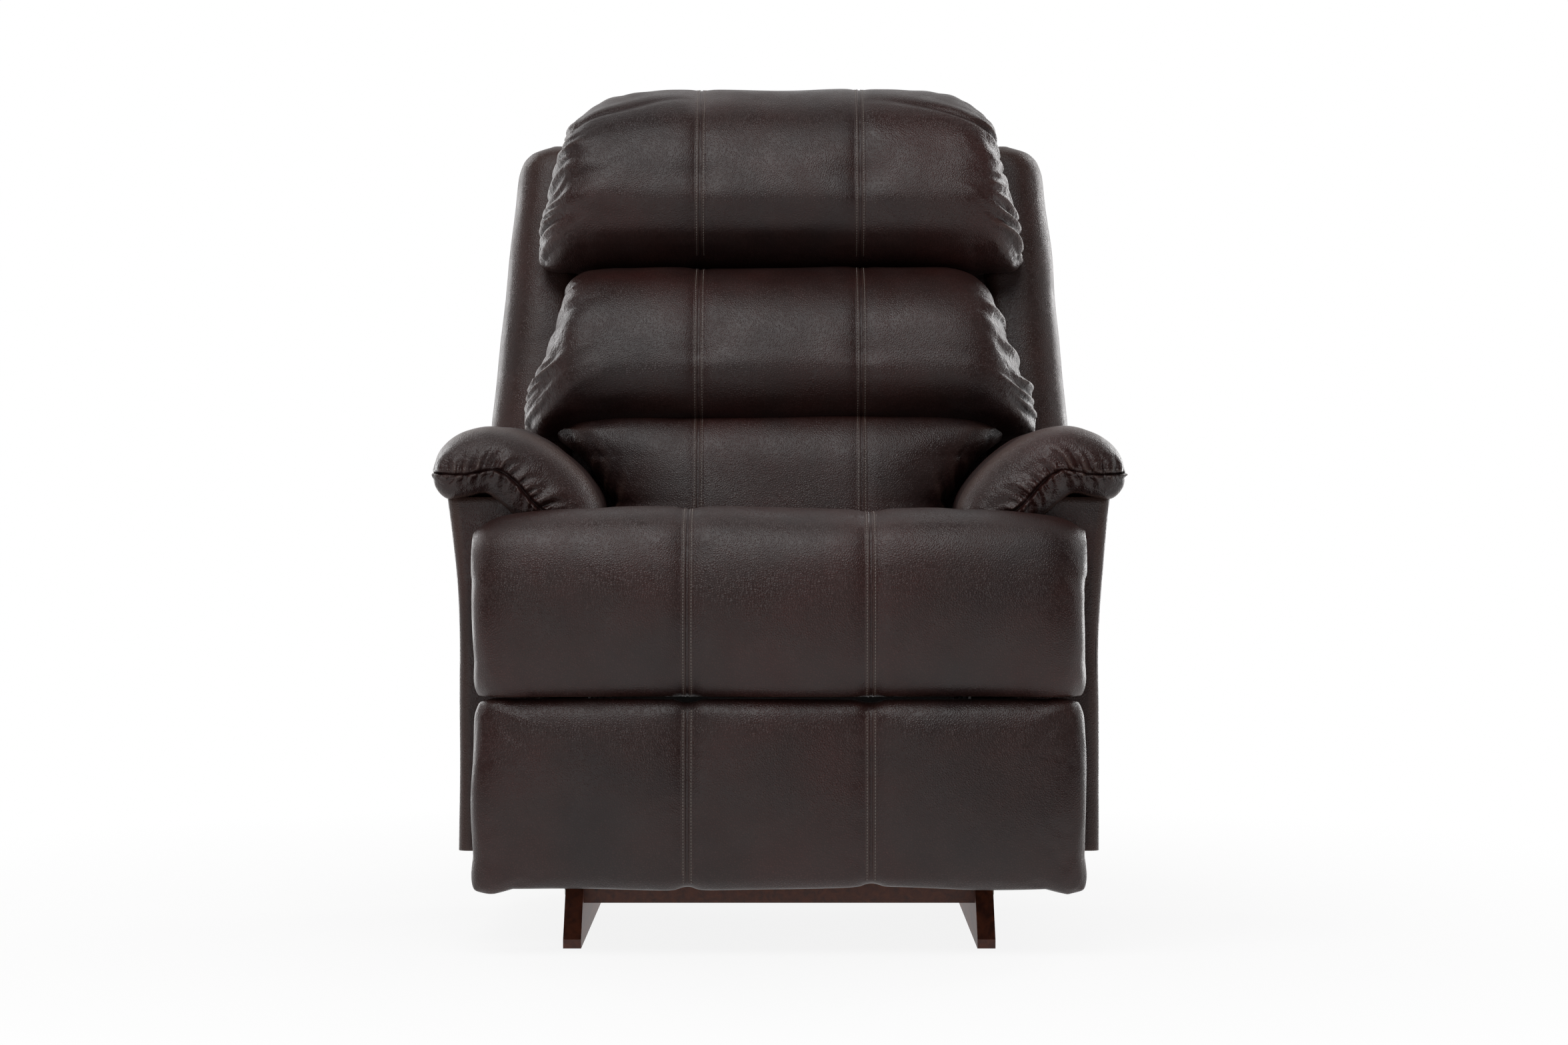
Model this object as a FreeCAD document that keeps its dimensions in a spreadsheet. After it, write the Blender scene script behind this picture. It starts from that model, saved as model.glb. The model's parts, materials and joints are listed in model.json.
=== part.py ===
import FreeCAD, Part
import math
import os
import re
import Sketcher

# A rocker recliner in millimetres. Z is up, the chair faces -Y, and the sitter's right is -X.

os.makedirs("parts", exist_ok=True)
doc = FreeCAD.newDocument("RockerRecliner")
Vector = FreeCAD.Vector
Rotation = FreeCAD.Rotation

# Driving sizes, one spreadsheet cell each.
SIZES = {
    # fits
    "run_gap": 0.3,
    "pin_clear": 0.05,
    # floor runners and the rails between them
    "runner_front": -395,
    "runner_length": 660,
    "runner_height": 95,
    "runner_thick": 22,
    "runner_track": 504,
    "toe_height": 11,
    "rail_thick": 20,
    "rail_height": 30,
    "rail_lift": 48,
    "front_rail_y": -325,
    "rear_rail_y": 155,
    "base_screw_radius": 3,
    "base_screw_length": 62,
    "screw_head_radius": 6,
    "screw_head_thick": 2,
    # rocker cams and their coil springs
    "cam_radius": 380,
    "cam_centre_y": 25,
    "cam_half_length": 130,
    "cam_top": 205,
    "coil_offset": 70,
    "coil_radius": 14,
    "coil_wire": 2,
    "coil_turns": 7,
    "coil_inset": 21,
    "spring_seat_low": 60,
    "spring_seat_high": 165,
    "spring_seat_thick": 3,
    "spring_seat_width": 36,
    "spring_seat_reach": 38,
    # steel side plates and mechanism
    "plate_thick": 3,
    "plate_bottom": 150,
    "plate_margin": 22,
    "link_thick": 4,
    "link_width": 20,
    "layer_gap": 2,
    "rivet_radius": 5,
    "rivet_head": 8,
    "rivet_head_thick": 1.5,
    "bolt_radius": 4,
    "bolt_offset": 75,
    "bolt_height": 180,
    "bolt_length": 45,
    "bolt_head": 7,
    "bolt_head_thick": 4,
    "stretcher_radius": 11,
    "stretcher_wall": 2,
    "stretcher_y": 125,
    "stretcher_z": 172,
    "mount_rail_bottom": 152,
    "mount_rail_height": 48,
    # legrest linkage
    "rod_y": -205,
    "rod_z": 312,
    "rod_radius": 7,
    "swing_length": 235,
    "swing_rest": -93.4,
    "guide_spacing": 60,
    "coupler_crank": 45,
    "panel_crank": 32,
    "panel_crank_rest": 82,
    "coupler_length": 199.7,
    "coupler_slack": 2.6,
    "coupler_end": 20,
    "pivot_setback": 17,
    "legrest_pivot_z": 240,
    # legrest panel
    "board_thick": 18,
    "board_half_width": 330,
    "board_bottom": 100,
    "board_top": 288,
    "legrest_half_width": 368,
    "legrest_bottom": 79,
    "legrest_top": 308,
    "legrest_thick": 54,
    # seat
    "front_y": -490,
    "seat_half_width": 368,
    "seat_rail_thick": 30,
    "seat_rail_bottom": 350,
    "seat_rail_top": 400,
    "seat_rail_front": -375,
    "seat_rear": 60,
    "seat_front_rail_bottom": 335,
    "seat_rear_rail_thick": 20,
    "seat_drop": 312,
    "seat_crown": 534,
    "seat_rear_top": 482,
    "seat_link_front_y": -60,
    "seat_link_rear_y": 60,
    "seat_link_top": 325,
    "seat_link_length": 90,
    "sinuous_wire": 1.75,
    "sinuous_half": 20,
    "sinuous_bend": 12,
    "sinuous_drop": 7,
    "seat_spring_edge": 46,
    # arms
    "arm_gap": 41,
    "arm_clear": 8,
    "arm_width": 100,
    "flare_out": 14,
    "flare_start": 380,
    "arm_front": -366,
    "arm_rear": 168,
    "arm_kink": 360,
    "arm_bottom": 115,
    "arm_top": 545,
    "cover_thick": 5,
    "inner_cover_bottom": 402,
    "ply_thick": 18,
    "dowel_radius": 14,
    "rear_cover_bottom": 136,
    "rear_cover_top": 345,
    "pad_front": -388,
    "pad_rear": 221,
    "pad_overhang": 25,
    "pad_crest": 637,
    "pad_reach": 77,
    "pad_drop": 35,
    "pad_clear": 12,
    # release pull on the sitter's right arm
    "pull_y": -125,
    "pull_z": 335,
    "pull_half_width": 60,
    "pull_half_height": 33,
    "pull_depth": 30,
    "bezel_wall": 3,
    "bezel_lip": 8,
    "bezel_proud": 2.5,
    "paddle_thick": 5,
    "paddle_height": 34,
    "paddle_pin": 2.5,
    "paddle_side_gap": 1.5,
    "cable_radius": 3,
    # back
    "hinge_y": 225.5,
    "hinge_z": 345,
    "rake": 16,
    "hinge_pin": 6,
    "hinge_half_height": 22,
    "hinge_plate_thick": 4,
    "upright_thick": 28,
    "upright_clear": 3,
    "upright_front": -20,
    "upright_rear": 35,
    "upright_foot": -20,
    "upright_top": 735,
    "back_rail_height": 40,
    "back_rail_low": 34,
    "back_spring_step": 100,
    "wing_half_low": 397,
    "wing_half_high": 370,
    "wing_front": -45,
    "wing_rear": 75,
    "wing_foot": 42,
    "wing_top": 717,
    "wing_crown": 9,
    "outer_back_top": 742,
    "outer_back_foot": 12,
    "cap_height": 16,
    "seam_x": 110,
    "seam_depth": 4,
    "seam_width": 9,
    "head_low": 490,
    "head_top": 778,
    "head_front": -186,
    "head_half_low": 330,
    "head_half_high": 294,
    "lumbar_low": 249,
    "lumbar_top": 486,
    "lumbar_front": -204,
    "lumbar_half_low": 346,
    "lumbar_half_high": 292,
    "lower_low": 62,
    "lower_top": 245,
    "lower_front": -186,
    "lower_spread": 62,
}

# Places that follow from the driving sizes, written with their names.
DERIVED = {
    "runner_inner": "runner_track / 2 - runner_thick / 2",
    "runner_outer": "runner_track / 2 + runner_thick / 2",
    "runner_rear": "runner_front + runner_length",
    "toe_run": "runner_height - toe_height",
    "rail_mid": "rail_lift + rail_height / 2",
    "cam_centre_z": "runner_height + run_gap + cam_radius",
    "plate_inner": "runner_inner - plate_thick",
    "outer_layer": "plate_inner - layer_gap - link_thick",
    "inner_layer": "outer_layer - layer_gap - link_thick",
    "board_rear": "front_y + legrest_thick + run_gap + board_thick",
    "board_front": "front_y + legrest_thick + run_gap",
    "elbow_y": "rod_y - swing_length * cos(swing_rest)",
    "elbow_z": "rod_z + swing_length * sin(swing_rest)",
    "panel_y": "board_rear + pivot_setback",
    "panel_z": "legrest_pivot_z",
    "carrier_y": "panel_y - elbow_y",
    "carrier_z": "panel_z - elbow_z",
    "carrier_length": "sqrt(carrier_y ^ 2 + carrier_z ^ 2)",
    "guide_y": "rod_y + guide_spacing * carrier_y / carrier_length",
    "guide_z": "rod_z + guide_spacing * carrier_z / carrier_length",
    "cross_y": "elbow_y + guide_spacing * carrier_y / carrier_length",
    "cross_z": "elbow_z + guide_spacing * carrier_z / carrier_length",
    "crank_y": "cross_y + coupler_crank * cos(swing_rest)",
    "crank_z": "cross_z - coupler_crank * sin(swing_rest)",
    "drive_y": "panel_y - panel_crank * cos(panel_crank_rest)",
    "drive_z": "panel_z + panel_crank * sin(panel_crank_rest)",
    "seat_link_foot": "seat_link_top - seat_link_length",
    "seat_rail_outer": "inner_layer",
    "seat_rail_inner": "inner_layer - seat_rail_thick",
    "seat_front_face": "seat_rail_front - seat_rail_thick * 2 / 3",
    "deck": "seat_rail_top + run_gap",
    "arm_inner": "runner_track / 2 + arm_gap",
    "arm_outer": "arm_inner + arm_width",
    "arm_flare": "arm_outer + flare_out",
    "pad_outer": "arm_flare + pad_overhang",
    "pad_inner": "arm_inner - pad_reach",
    "lower_half_low": "pad_inner",
    "lower_half_high": "pad_inner + lower_spread",
    "seat_inner_half": "arm_inner - arm_clear",
    "seat_spring_step": "(seat_rail_inner - seat_spring_edge) / 2",
    "pad_droop": "arm_top - pad_drop",
    "upright_outer": "arm_inner - upright_clear",
    "upright_inner": "upright_outer - upright_thick",
    "ply_inner": "arm_inner + cover_thick + 2",
    "ply_outer": "ply_inner + ply_thick",
    "ply_front": "arm_front + cover_thick",
    "ply_top": "arm_top - ply_thick",
    "cavity_outer": "arm_outer - cover_thick",
    "cavity_flare": "arm_flare - cover_thick",
    "hinge_plate_inner": "ply_inner - hinge_plate_thick",
    "paddle_top": "pull_z + pull_half_height - bezel_wall",
    "paddle_axis_z": "paddle_top - paddle_thick",
}

sheet = doc.addObject("Spreadsheet::Sheet", "Sizes")
for row, (alias, value) in enumerate(SIZES.items(), start=1):
    sheet.set(f"A{row}", alias)
    sheet.set(f"B{row}", str(value))
    sheet.setAlias(f"B{row}", alias)
doc.recompute()


def bound(text):
    """Return an expression in which every size name points at its cell."""
    def swap(match):
        word = match[0]
        if word in DERIVED:
            return "(" + bound(DERIVED[word]) + ")"
        return "Sizes." + word if word in SIZES else word
    return re.sub(r"[a-z][a-z0-9_]*", swap, str(text))


def num(text):
    """Return the present value of an expression of size names."""
    value = sheet.evalExpression(bound(text))
    return float(getattr(value, "Value", value))


subparts = []


def keep(obj, label):
    """Name a finished sub-part and list it for writing."""
    obj.Label = label
    subparts.append(obj)
    return obj


def bind(obj, **values):
    for name, text in values.items():
        obj.setExpression(name.replace("__", "."), bound(text))


def seat_at(obj, base_x, base_y, base_z):
    bind(obj, Placement__Base__x=base_x, Placement__Base__y=base_y, Placement__Base__z=base_z)


def box(name, x, y, z):
    """A Part box between pairs of expressions."""
    obj = doc.addObject("Part::Box", name)
    bind(obj, Length=f"({x[1]}) - ({x[0]})", Width=f"({y[1]}) - ({y[0]})", Height=f"({z[1]}) - ({z[0]})")
    seat_at(obj, x[0], y[0], z[0])
    return obj


AXIS_TURN = {"x": Rotation(Vector(0, 1, 0), 90), "y": Rotation(Vector(1, 0, 0), -90), "z": Rotation()}


def cylinder(name, axis, start, length, radius):
    """A Part cylinder from a start point (three expressions) along an axis."""
    obj = doc.addObject("Part::Cylinder", name)
    obj.Placement = FreeCAD.Placement(Vector(), AXIS_TURN[axis])
    bind(obj, Radius=radius, Height=length)
    seat_at(obj, *start)
    return obj


def cut(name, base, *tools):
    """Subtract one or more tools from a base."""
    tool = tools[0]
    if len(tools) > 1:
        tool = doc.addObject("Part::Compound", name + "_tools")
        tool.Links = list(tools)
    obj = doc.addObject("Part::Cut", name)
    obj.Base = base
    obj.Tool = tool
    return obj


def fuse(name, *pieces):
    obj = doc.addObject("Part::MultiFuse", name)
    obj.Shapes = list(pieces)
    obj.Refine = True
    return obj


def group(name, *pieces):
    """Separate solids that share one node."""
    obj = doc.addObject("Part::Compound", name)
    obj.Links = list(pieces)
    return obj


def mirror(name, source):
    """The same piece on the -X side."""
    obj = doc.addObject("Part::Mirroring", name)
    obj.Source = source
    obj.Normal = Vector(1, 0, 0)
    obj.Base = Vector()
    return obj


def pair(name, *pieces):
    """A node that holds each piece and its mirror image."""
    return group(name, *pieces, *[mirror(piece.Name + "_mirror", piece) for piece in pieces])


PLANES = {"YZ": "YZ_Plane", "XZ": "XZ_Plane"}


def new_sketch(body, plane):
    origin = [item for item in body.Origin.OriginFeatures if item.Role == PLANES[plane]][0]
    sketch = body.newObject("Sketcher::SketchObject", body.Name + "_sketch")
    sketch.AttachmentSupport = [(origin, "")]
    sketch.MapMode = "FlatFace"
    return sketch


def hold_point(sketch, geo, point, across, up):
    """Tie a sketch point to two expressions measured from the origin."""
    for kind, text in (("DistanceX", across), ("DistanceY", up)):
        index = sketch.addConstraint(Sketcher.Constraint(kind, -1, 1, geo, point, num(text)))
        sketch.setExpression(f"Constraints[{index}]", bound(text))


def add_holes(sketch, holes):
    for across, up, radius in holes:
        centre = Vector(num(across), num(up), 0)
        geo = sketch.addGeometry(Part.Circle(centre, Vector(0, 0, 1), num(radius)), False)
        hold_point(sketch, geo, 3, across, up)
        index = sketch.addConstraint(Sketcher.Constraint("Radius", geo, num(radius)))
        sketch.setExpression(f"Constraints[{index}]", bound(radius))


def pad(body, sketch, thick, reverse=False):
    feature = body.newObject("PartDesign::Pad", body.Name + "_pad")
    feature.Profile = sketch
    feature.Reversed = reverse
    feature.setExpression("Length", bound(thick))
    body.Tip = feature


def plate(name, start, thick, outline, holes=(), plane="YZ", turn=None):
    """A flat piece: straight outline and round holes, padded from start along +X (YZ) or +Y (XZ)."""
    body = doc.addObject("PartDesign::Body", name)
    sketch = new_sketch(body, plane)
    corners = [Vector(num(across), num(up), 0) for across, up in outline]
    count = len(corners)
    for index in range(count):
        sketch.addGeometry(Part.LineSegment(corners[index], corners[(index + 1) % count]), False)
    for index in range(count):
        following = (index + 1) % count
        sketch.addConstraint(Sketcher.Constraint("Coincident", index, 2, following, 1))
    for index, (across, up) in enumerate(outline):
        hold_point(sketch, index, 1, across, up)
    add_holes(sketch, holes)
    pad(body, sketch, thick, reverse=plane == "XZ")
    if turn is not None:
        body.Placement = FreeCAD.Placement(Vector(), turn)
    seat_at(body, *start)
    return body


def direction_turn(angle):
    """Turn a bar drawn along +Y so that it points forward (angle 0) and up (angle 90)."""
    return Rotation(Vector(1, 0, 0), 180 - angle)


def link_bar(name, layer, pivot, angle, length, holes, width="link_width"):
    """A round-ended steel bar from a pivot, with holes at distances along it."""
    body = doc.addObject("PartDesign::Body", name)
    sketch = new_sketch(body, "YZ")
    reach = num(length)
    half = num(width) / 2
    sketch.addGeometry(Part.LineSegment(Vector(0, half, 0), Vector(reach, half, 0)), False)
    far = Part.Circle(Vector(reach, 0, 0), Vector(0, 0, 1), half)
    sketch.addGeometry(Part.ArcOfCircle(far, -math.pi / 2, math.pi / 2), False)
    sketch.addGeometry(Part.LineSegment(Vector(reach, -half, 0), Vector(0, -half, 0)), False)
    near = Part.Circle(Vector(), Vector(0, 0, 1), half)
    sketch.addGeometry(Part.ArcOfCircle(near, math.pi / 2, 3 * math.pi / 2), False)
    for first, start, second, end in ((0, 2, 1, 2), (2, 1, 1, 1), (2, 2, 3, 2), (0, 1, 3, 1)):
        sketch.addConstraint(Sketcher.Constraint("Tangent", first, start, second, end))
    hold_point(sketch, 3, 3, "0", "0")
    hold_point(sketch, 1, 3, length, "0")
    radius = sketch.addConstraint(Sketcher.Constraint("Radius", 1, half))
    sketch.setExpression(f"Constraints[{radius}]", bound(f"({width}) / 2"))
    add_holes(sketch, [(distance, "0", size) for distance, size in holes])
    pad(body, sketch, "link_thick")
    body.Placement = FreeCAD.Placement(Vector(), direction_turn(num(angle) if isinstance(angle, str) else angle))
    seat_at(body, layer, *pivot)
    return body


def rivet(name, x_low, x_high, at_y, at_z, radius="rivet_radius", heads=("low", "high")):
    """A shank through two plates with a thin head at each outer face."""
    pieces = [cylinder(name + "_shank", "x", (x_low, at_y, at_z), f"({x_high}) - ({x_low})", radius)]
    if "low" in heads:
        start = f"({x_low}) - rivet_head_thick"
        pieces.append(cylinder(name + "_low", "x", (start, at_y, at_z), "rivet_head_thick", "rivet_head"))
    if "high" in heads:
        pieces.append(cylinder(name + "_high", "x", (x_high, at_y, at_z), "rivet_head_thick", "rivet_head"))
    return fuse(name, *pieces) if len(pieces) > 1 else pieces[0]


def solid_feature(name, shape, placement=None):
    """A sub-part whose form only lofts or pipes can give."""
    obj = doc.addObject("Part::Feature", name)
    obj.Shape = shape
    if placement is not None:
        obj.Placement = placement
    return obj


def wire_of(steps):
    """A closed wire from points; a pair (through, end) makes an arc, a lone point makes a line."""
    edges = []
    here = steps[0]
    for step in steps[1:]:
        if isinstance(step, tuple):
            through, end = step
            edges.append(Part.Arc(here, through, end).toShape())
        else:
            end = step
            edges.append(Part.LineSegment(here, end).toShape())
        here = end
    return Part.Wire(edges)


def loft(wires):
    """A solid through slices, straight between neighbours so that nothing swells past them."""
    return Part.makeLoft(wires, True, True)


def roll(x, half, run, depth):
    """How far a rounded edge has turned in at x, over the last run of a half width."""
    share = min(max((x - (half - run)) / run, 0.0), 1.0)
    return depth * (1 - math.sqrt(1 - share * share))


def roll_places(half, run, steps=6):
    """Places over a rounded edge, closer together where it turns faster."""
    return [half - run + run * math.sin(math.pi / 2 * step / steps) for step in range(steps + 1)]


def seam_inset(x):
    """How far a sewn channel draws a cushion face in at x."""
    return num("seam_depth") * math.exp(-(((abs(x) - num("seam_x")) / num("seam_width")) ** 2))


def seam_places():
    """Places from the middle of a cushion to past its sewn channel."""
    seam = num("seam_x")
    wide = num("seam_width")
    return [0, seam - 4 * wide] + [seam + wide * step for step in (-2, -1, -0.5, 0, 0.5, 1, 2)]


def mirrored_stations(half):
    """Give a list of (x, ...) stations from 0 outward its other half."""
    return [(-station[0],) + tuple(station[1:]) for station in reversed(half[1:])] + list(half)


def pipe(edges, radius):
    """A round wire or tube along joined edges."""
    path = Part.Wire(edges)
    start = edges[0].valueAt(edges[0].FirstParameter)
    tangent = edges[0].tangentAt(edges[0].FirstParameter)
    ring = Part.Wire([Part.Circle(start, tangent, radius).toShape()])
    return path.makePipeShell([ring], True, False)


# Floor base

def make_base():
    low = ["runner_front", "runner_rear"]
    outline = [
        (low[0], "0"), (low[1], "0"), (low[1], "toe_height"), ("runner_rear - toe_run", "runner_height"),
        ("runner_front + toe_run", "runner_height"), (low[0], "toe_height"),
    ]
    screw_rows = ["front_rail_y + rail_thick / 2", "rear_rail_y + rail_thick / 2"]
    holes = [(row, "rail_mid", "base_screw_radius + pin_clear") for row in screw_rows]
    right = plate("runner_right", ("runner_inner", "0", "0"), "runner_thick", outline, holes)
    keep(right, "right_runner")
    keep(mirror("runner_left", right), "left_runner")
    screws = []
    for label, row in (("front", "front_rail_y"), ("rear", "rear_rail_y")):
        middle = f"{row} + rail_thick / 2"
        blank = box(label + "_rail_blank", ("-runner_inner", "runner_inner"), (row, f"{row} + rail_thick"),
                    ("rail_lift", "rail_lift + rail_height"))
        tail = "runner_outer - base_screw_length"
        bore = cylinder(label + "_bore", "x", (f"{tail} - run_gap", middle, "rail_mid"),
                        "base_screw_length + run_gap", "base_screw_radius + pin_clear")
        keep(cut(label + "_rail", blank, bore, mirror(label + "_bore_left", bore)), label + "_cross_rail")
        shank = cylinder(label + "_screw_shank", "x", (tail, middle, "rail_mid"), "base_screw_length",
                         "base_screw_radius")
        head = cylinder(label + "_screw_head", "x", ("runner_outer", middle, "rail_mid"),
                        "screw_head_thick", "screw_head_radius")
        screws.append(fuse(label + "_screw", shank, head))
    keep(pair("screws", *screws), "base_screws")


def biarc(start, start_dir, end, end_dir):
    """Two arcs that leave and arrive along given directions."""
    chord = end - start
    total = start_dir + end_dir
    square = 2 * (1 - start_dir.dot(end_dir))
    along = chord.dot(total)
    reach = (-along + math.sqrt(along * along + square * chord.dot(chord))) / square
    joint = (start + end + (start_dir - end_dir) * reach) * 0.5
    middle_dir = (joint - start - start_dir * reach).normalize()
    arcs = []
    for first, first_dir, last in ((start, start_dir, joint), (joint, middle_dir, end)):
        step = last - first
        side = step - first_dir * step.dot(first_dir)
        angle = math.atan2(side.Length, step.dot(first_dir))
        across = Vector(side).normalize()
        radius = step.Length / (2 * math.sin(angle))
        through = first + first_dir * (radius * math.sin(angle)) + across * (radius * (1 - math.cos(angle)))
        arcs.append(Part.Arc(first, through, last).toShape())
    return arcs


def coil_edges(centre, radius, height, turns):
    """Quarter turns of a helix up the Z axis, as biarcs."""
    rise = height / turns
    slope = rise / (2 * math.pi * radius)

    def at(angle):
        lift = rise * angle / (2 * math.pi)
        return centre + Vector(radius * math.cos(angle), radius * math.sin(angle), lift)

    def heading(angle):
        return Vector(-math.sin(angle), math.cos(angle), slope).normalize()
    edges = []
    quarter = math.pi / 2
    for index in range(round(turns * 4)):
        first = index * quarter
        edges += biarc(at(first), heading(first), at(first + quarter), heading(first + quarter))
    return edges


def make_rocker_springs():
    bottom = num("spring_seat_low + spring_seat_thick + coil_wire + run_gap")
    top = num("spring_seat_high - coil_wire - run_gap")
    turns = num("coil_turns")
    across = num("runner_inner - coil_inset")
    coils = []
    for side in (1, -1):
        for end in (1, -1):
            centre = Vector(side * across, num("cam_centre_y") + end * num("coil_offset"), bottom)
            coils.append(pipe(coil_edges(centre, num("coil_radius"), top - bottom, turns), num("coil_wire")))
    least_gap = (top - bottom) / turns - 2 * num("coil_wire")
    print(f"coil springs: least gap between turns {least_gap:.2f} mm")
    keep(solid_feature("coils", Part.makeCompound(coils)), "rocker_springs")
    for label, seat_z, reach_to in (("lower", "spring_seat_low", "runner_inner"),
                                    ("upper", "spring_seat_high", "plate_inner")):
        seats = []
        for place, sign in (("rear", "+"), ("front", "-")):
            middle = f"cam_centre_y {sign} coil_offset"
            seats.append(box(f"{label}_{place}_seat", ("runner_inner - spring_seat_reach", reach_to),
                             (f"{middle} - spring_seat_width / 2", f"{middle} + spring_seat_width / 2"),
                             (seat_z, f"{seat_z} + spring_seat_thick")))
        keep(pair(label + "_seats", *seats), label + "_spring_brackets")


# Chassis: cams, plates, bolts and arms

def make_cams():
    wheel = cylinder("cam_wheel", "x", ("runner_inner", "cam_centre_y", "cam_centre_z"), "runner_thick",
                     "cam_radius")
    window = box("cam_window", ("runner_inner", "runner_outer"),
                 ("cam_centre_y - cam_half_length", "cam_centre_y + cam_half_length"), ("0", "cam_top"))
    blank = doc.addObject("Part::Common", "cam_blank")
    blank.Base = wheel
    blank.Tool = window
    rail_blank = box("mount_blank", ("runner_outer", "ply_inner"),
                     ("cam_centre_y - cam_half_length", "cam_centre_y + cam_half_length"),
                     ("mount_rail_bottom", "mount_rail_bottom + mount_rail_height"))
    bolts = []
    bores = []
    for label, sign in (("front", "-"), ("rear", "+")):
        middle = f"cam_centre_y {sign} bolt_offset"
        start = ("plate_inner", middle, "bolt_height")
        bores.append(cylinder(label + "_bolt_bore", "x", start, "bolt_length + run_gap",
                              "bolt_radius + pin_clear"))
        shank = cylinder(label + "_bolt_shank", "x", start, "bolt_length", "bolt_radius")
        head = cylinder(label + "_bolt_head", "x", ("plate_inner - bolt_head_thick", middle, "bolt_height"),
                        "bolt_head_thick", "bolt_head")
        bolts.append(fuse(label + "_bolt", shank, head))
    right = keep(cut("cam_right", blank, *bores), "right_rocker_cam")
    keep(mirror("cam_left", right), "left_rocker_cam")
    keep(pair("mounts", cut("mount_right", rail_blank, *bores)), "mount_rails")
    return bolts


def make_plates(bolts):
    outline = [
        ("guide_y - plate_margin", "guide_z - plate_margin"),
        ("guide_y - plate_margin", "guide_z + plate_margin / 2"),
        ("guide_y - plate_margin / 4", "guide_z + plate_margin"),
        ("stretcher_y + plate_margin", "seat_link_top + plate_margin"),
        ("stretcher_y + plate_margin", "plate_bottom"),
        ("-stretcher_y - plate_margin", "plate_bottom"),
        ("rod_y - plate_margin / 2", "rod_z - plate_margin"),
    ]
    pin = "rivet_radius + pin_clear"
    holes = [
        ("rod_y", "rod_z", "rod_radius + pin_clear"), ("guide_y", "guide_z", pin),
        ("seat_link_front_y", "seat_link_top", pin), ("seat_link_rear_y", "seat_link_top", pin),
        ("cam_centre_y - bolt_offset", "bolt_height", "bolt_radius + pin_clear"),
        ("cam_centre_y + bolt_offset", "bolt_height", "bolt_radius + pin_clear"),
    ]
    right = plate("plate_right", ("plate_inner", "0", "0"), "plate_thick", outline, holes)
    keep(right, "right_side_plate")
    keep(mirror("plate_left", right), "left_side_plate")
    places = (("guide", "guide_y", "guide_z"), ("front_link", "seat_link_front_y", "seat_link_top"),
              ("rear_link", "seat_link_rear_y", "seat_link_top"))
    pins = [rivet(label + "_pin", "outer_layer", "runner_inner", y, z, heads=("low",)) for label, y, z in places]
    keep(pair("bolts", *bolts, *pins), "mechanism_bolts")
    tubes = []
    for label, sign in (("front", "-"), ("rear", "")):
        start = ("-plate_inner", f"{sign}stretcher_y", "stretcher_z")
        solid = cylinder(label + "_stretcher_rod", "x", start, "2 * (plate_inner)", "stretcher_radius")
        bore = cylinder(label + "_stretcher_bore", "x", start, "2 * (plate_inner)",
                        "stretcher_radius - stretcher_wall")
        tubes.append(cut(label + "_stretcher", solid, bore))
    keep(group("stretchers", *tubes), "cross_stretchers")


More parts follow.
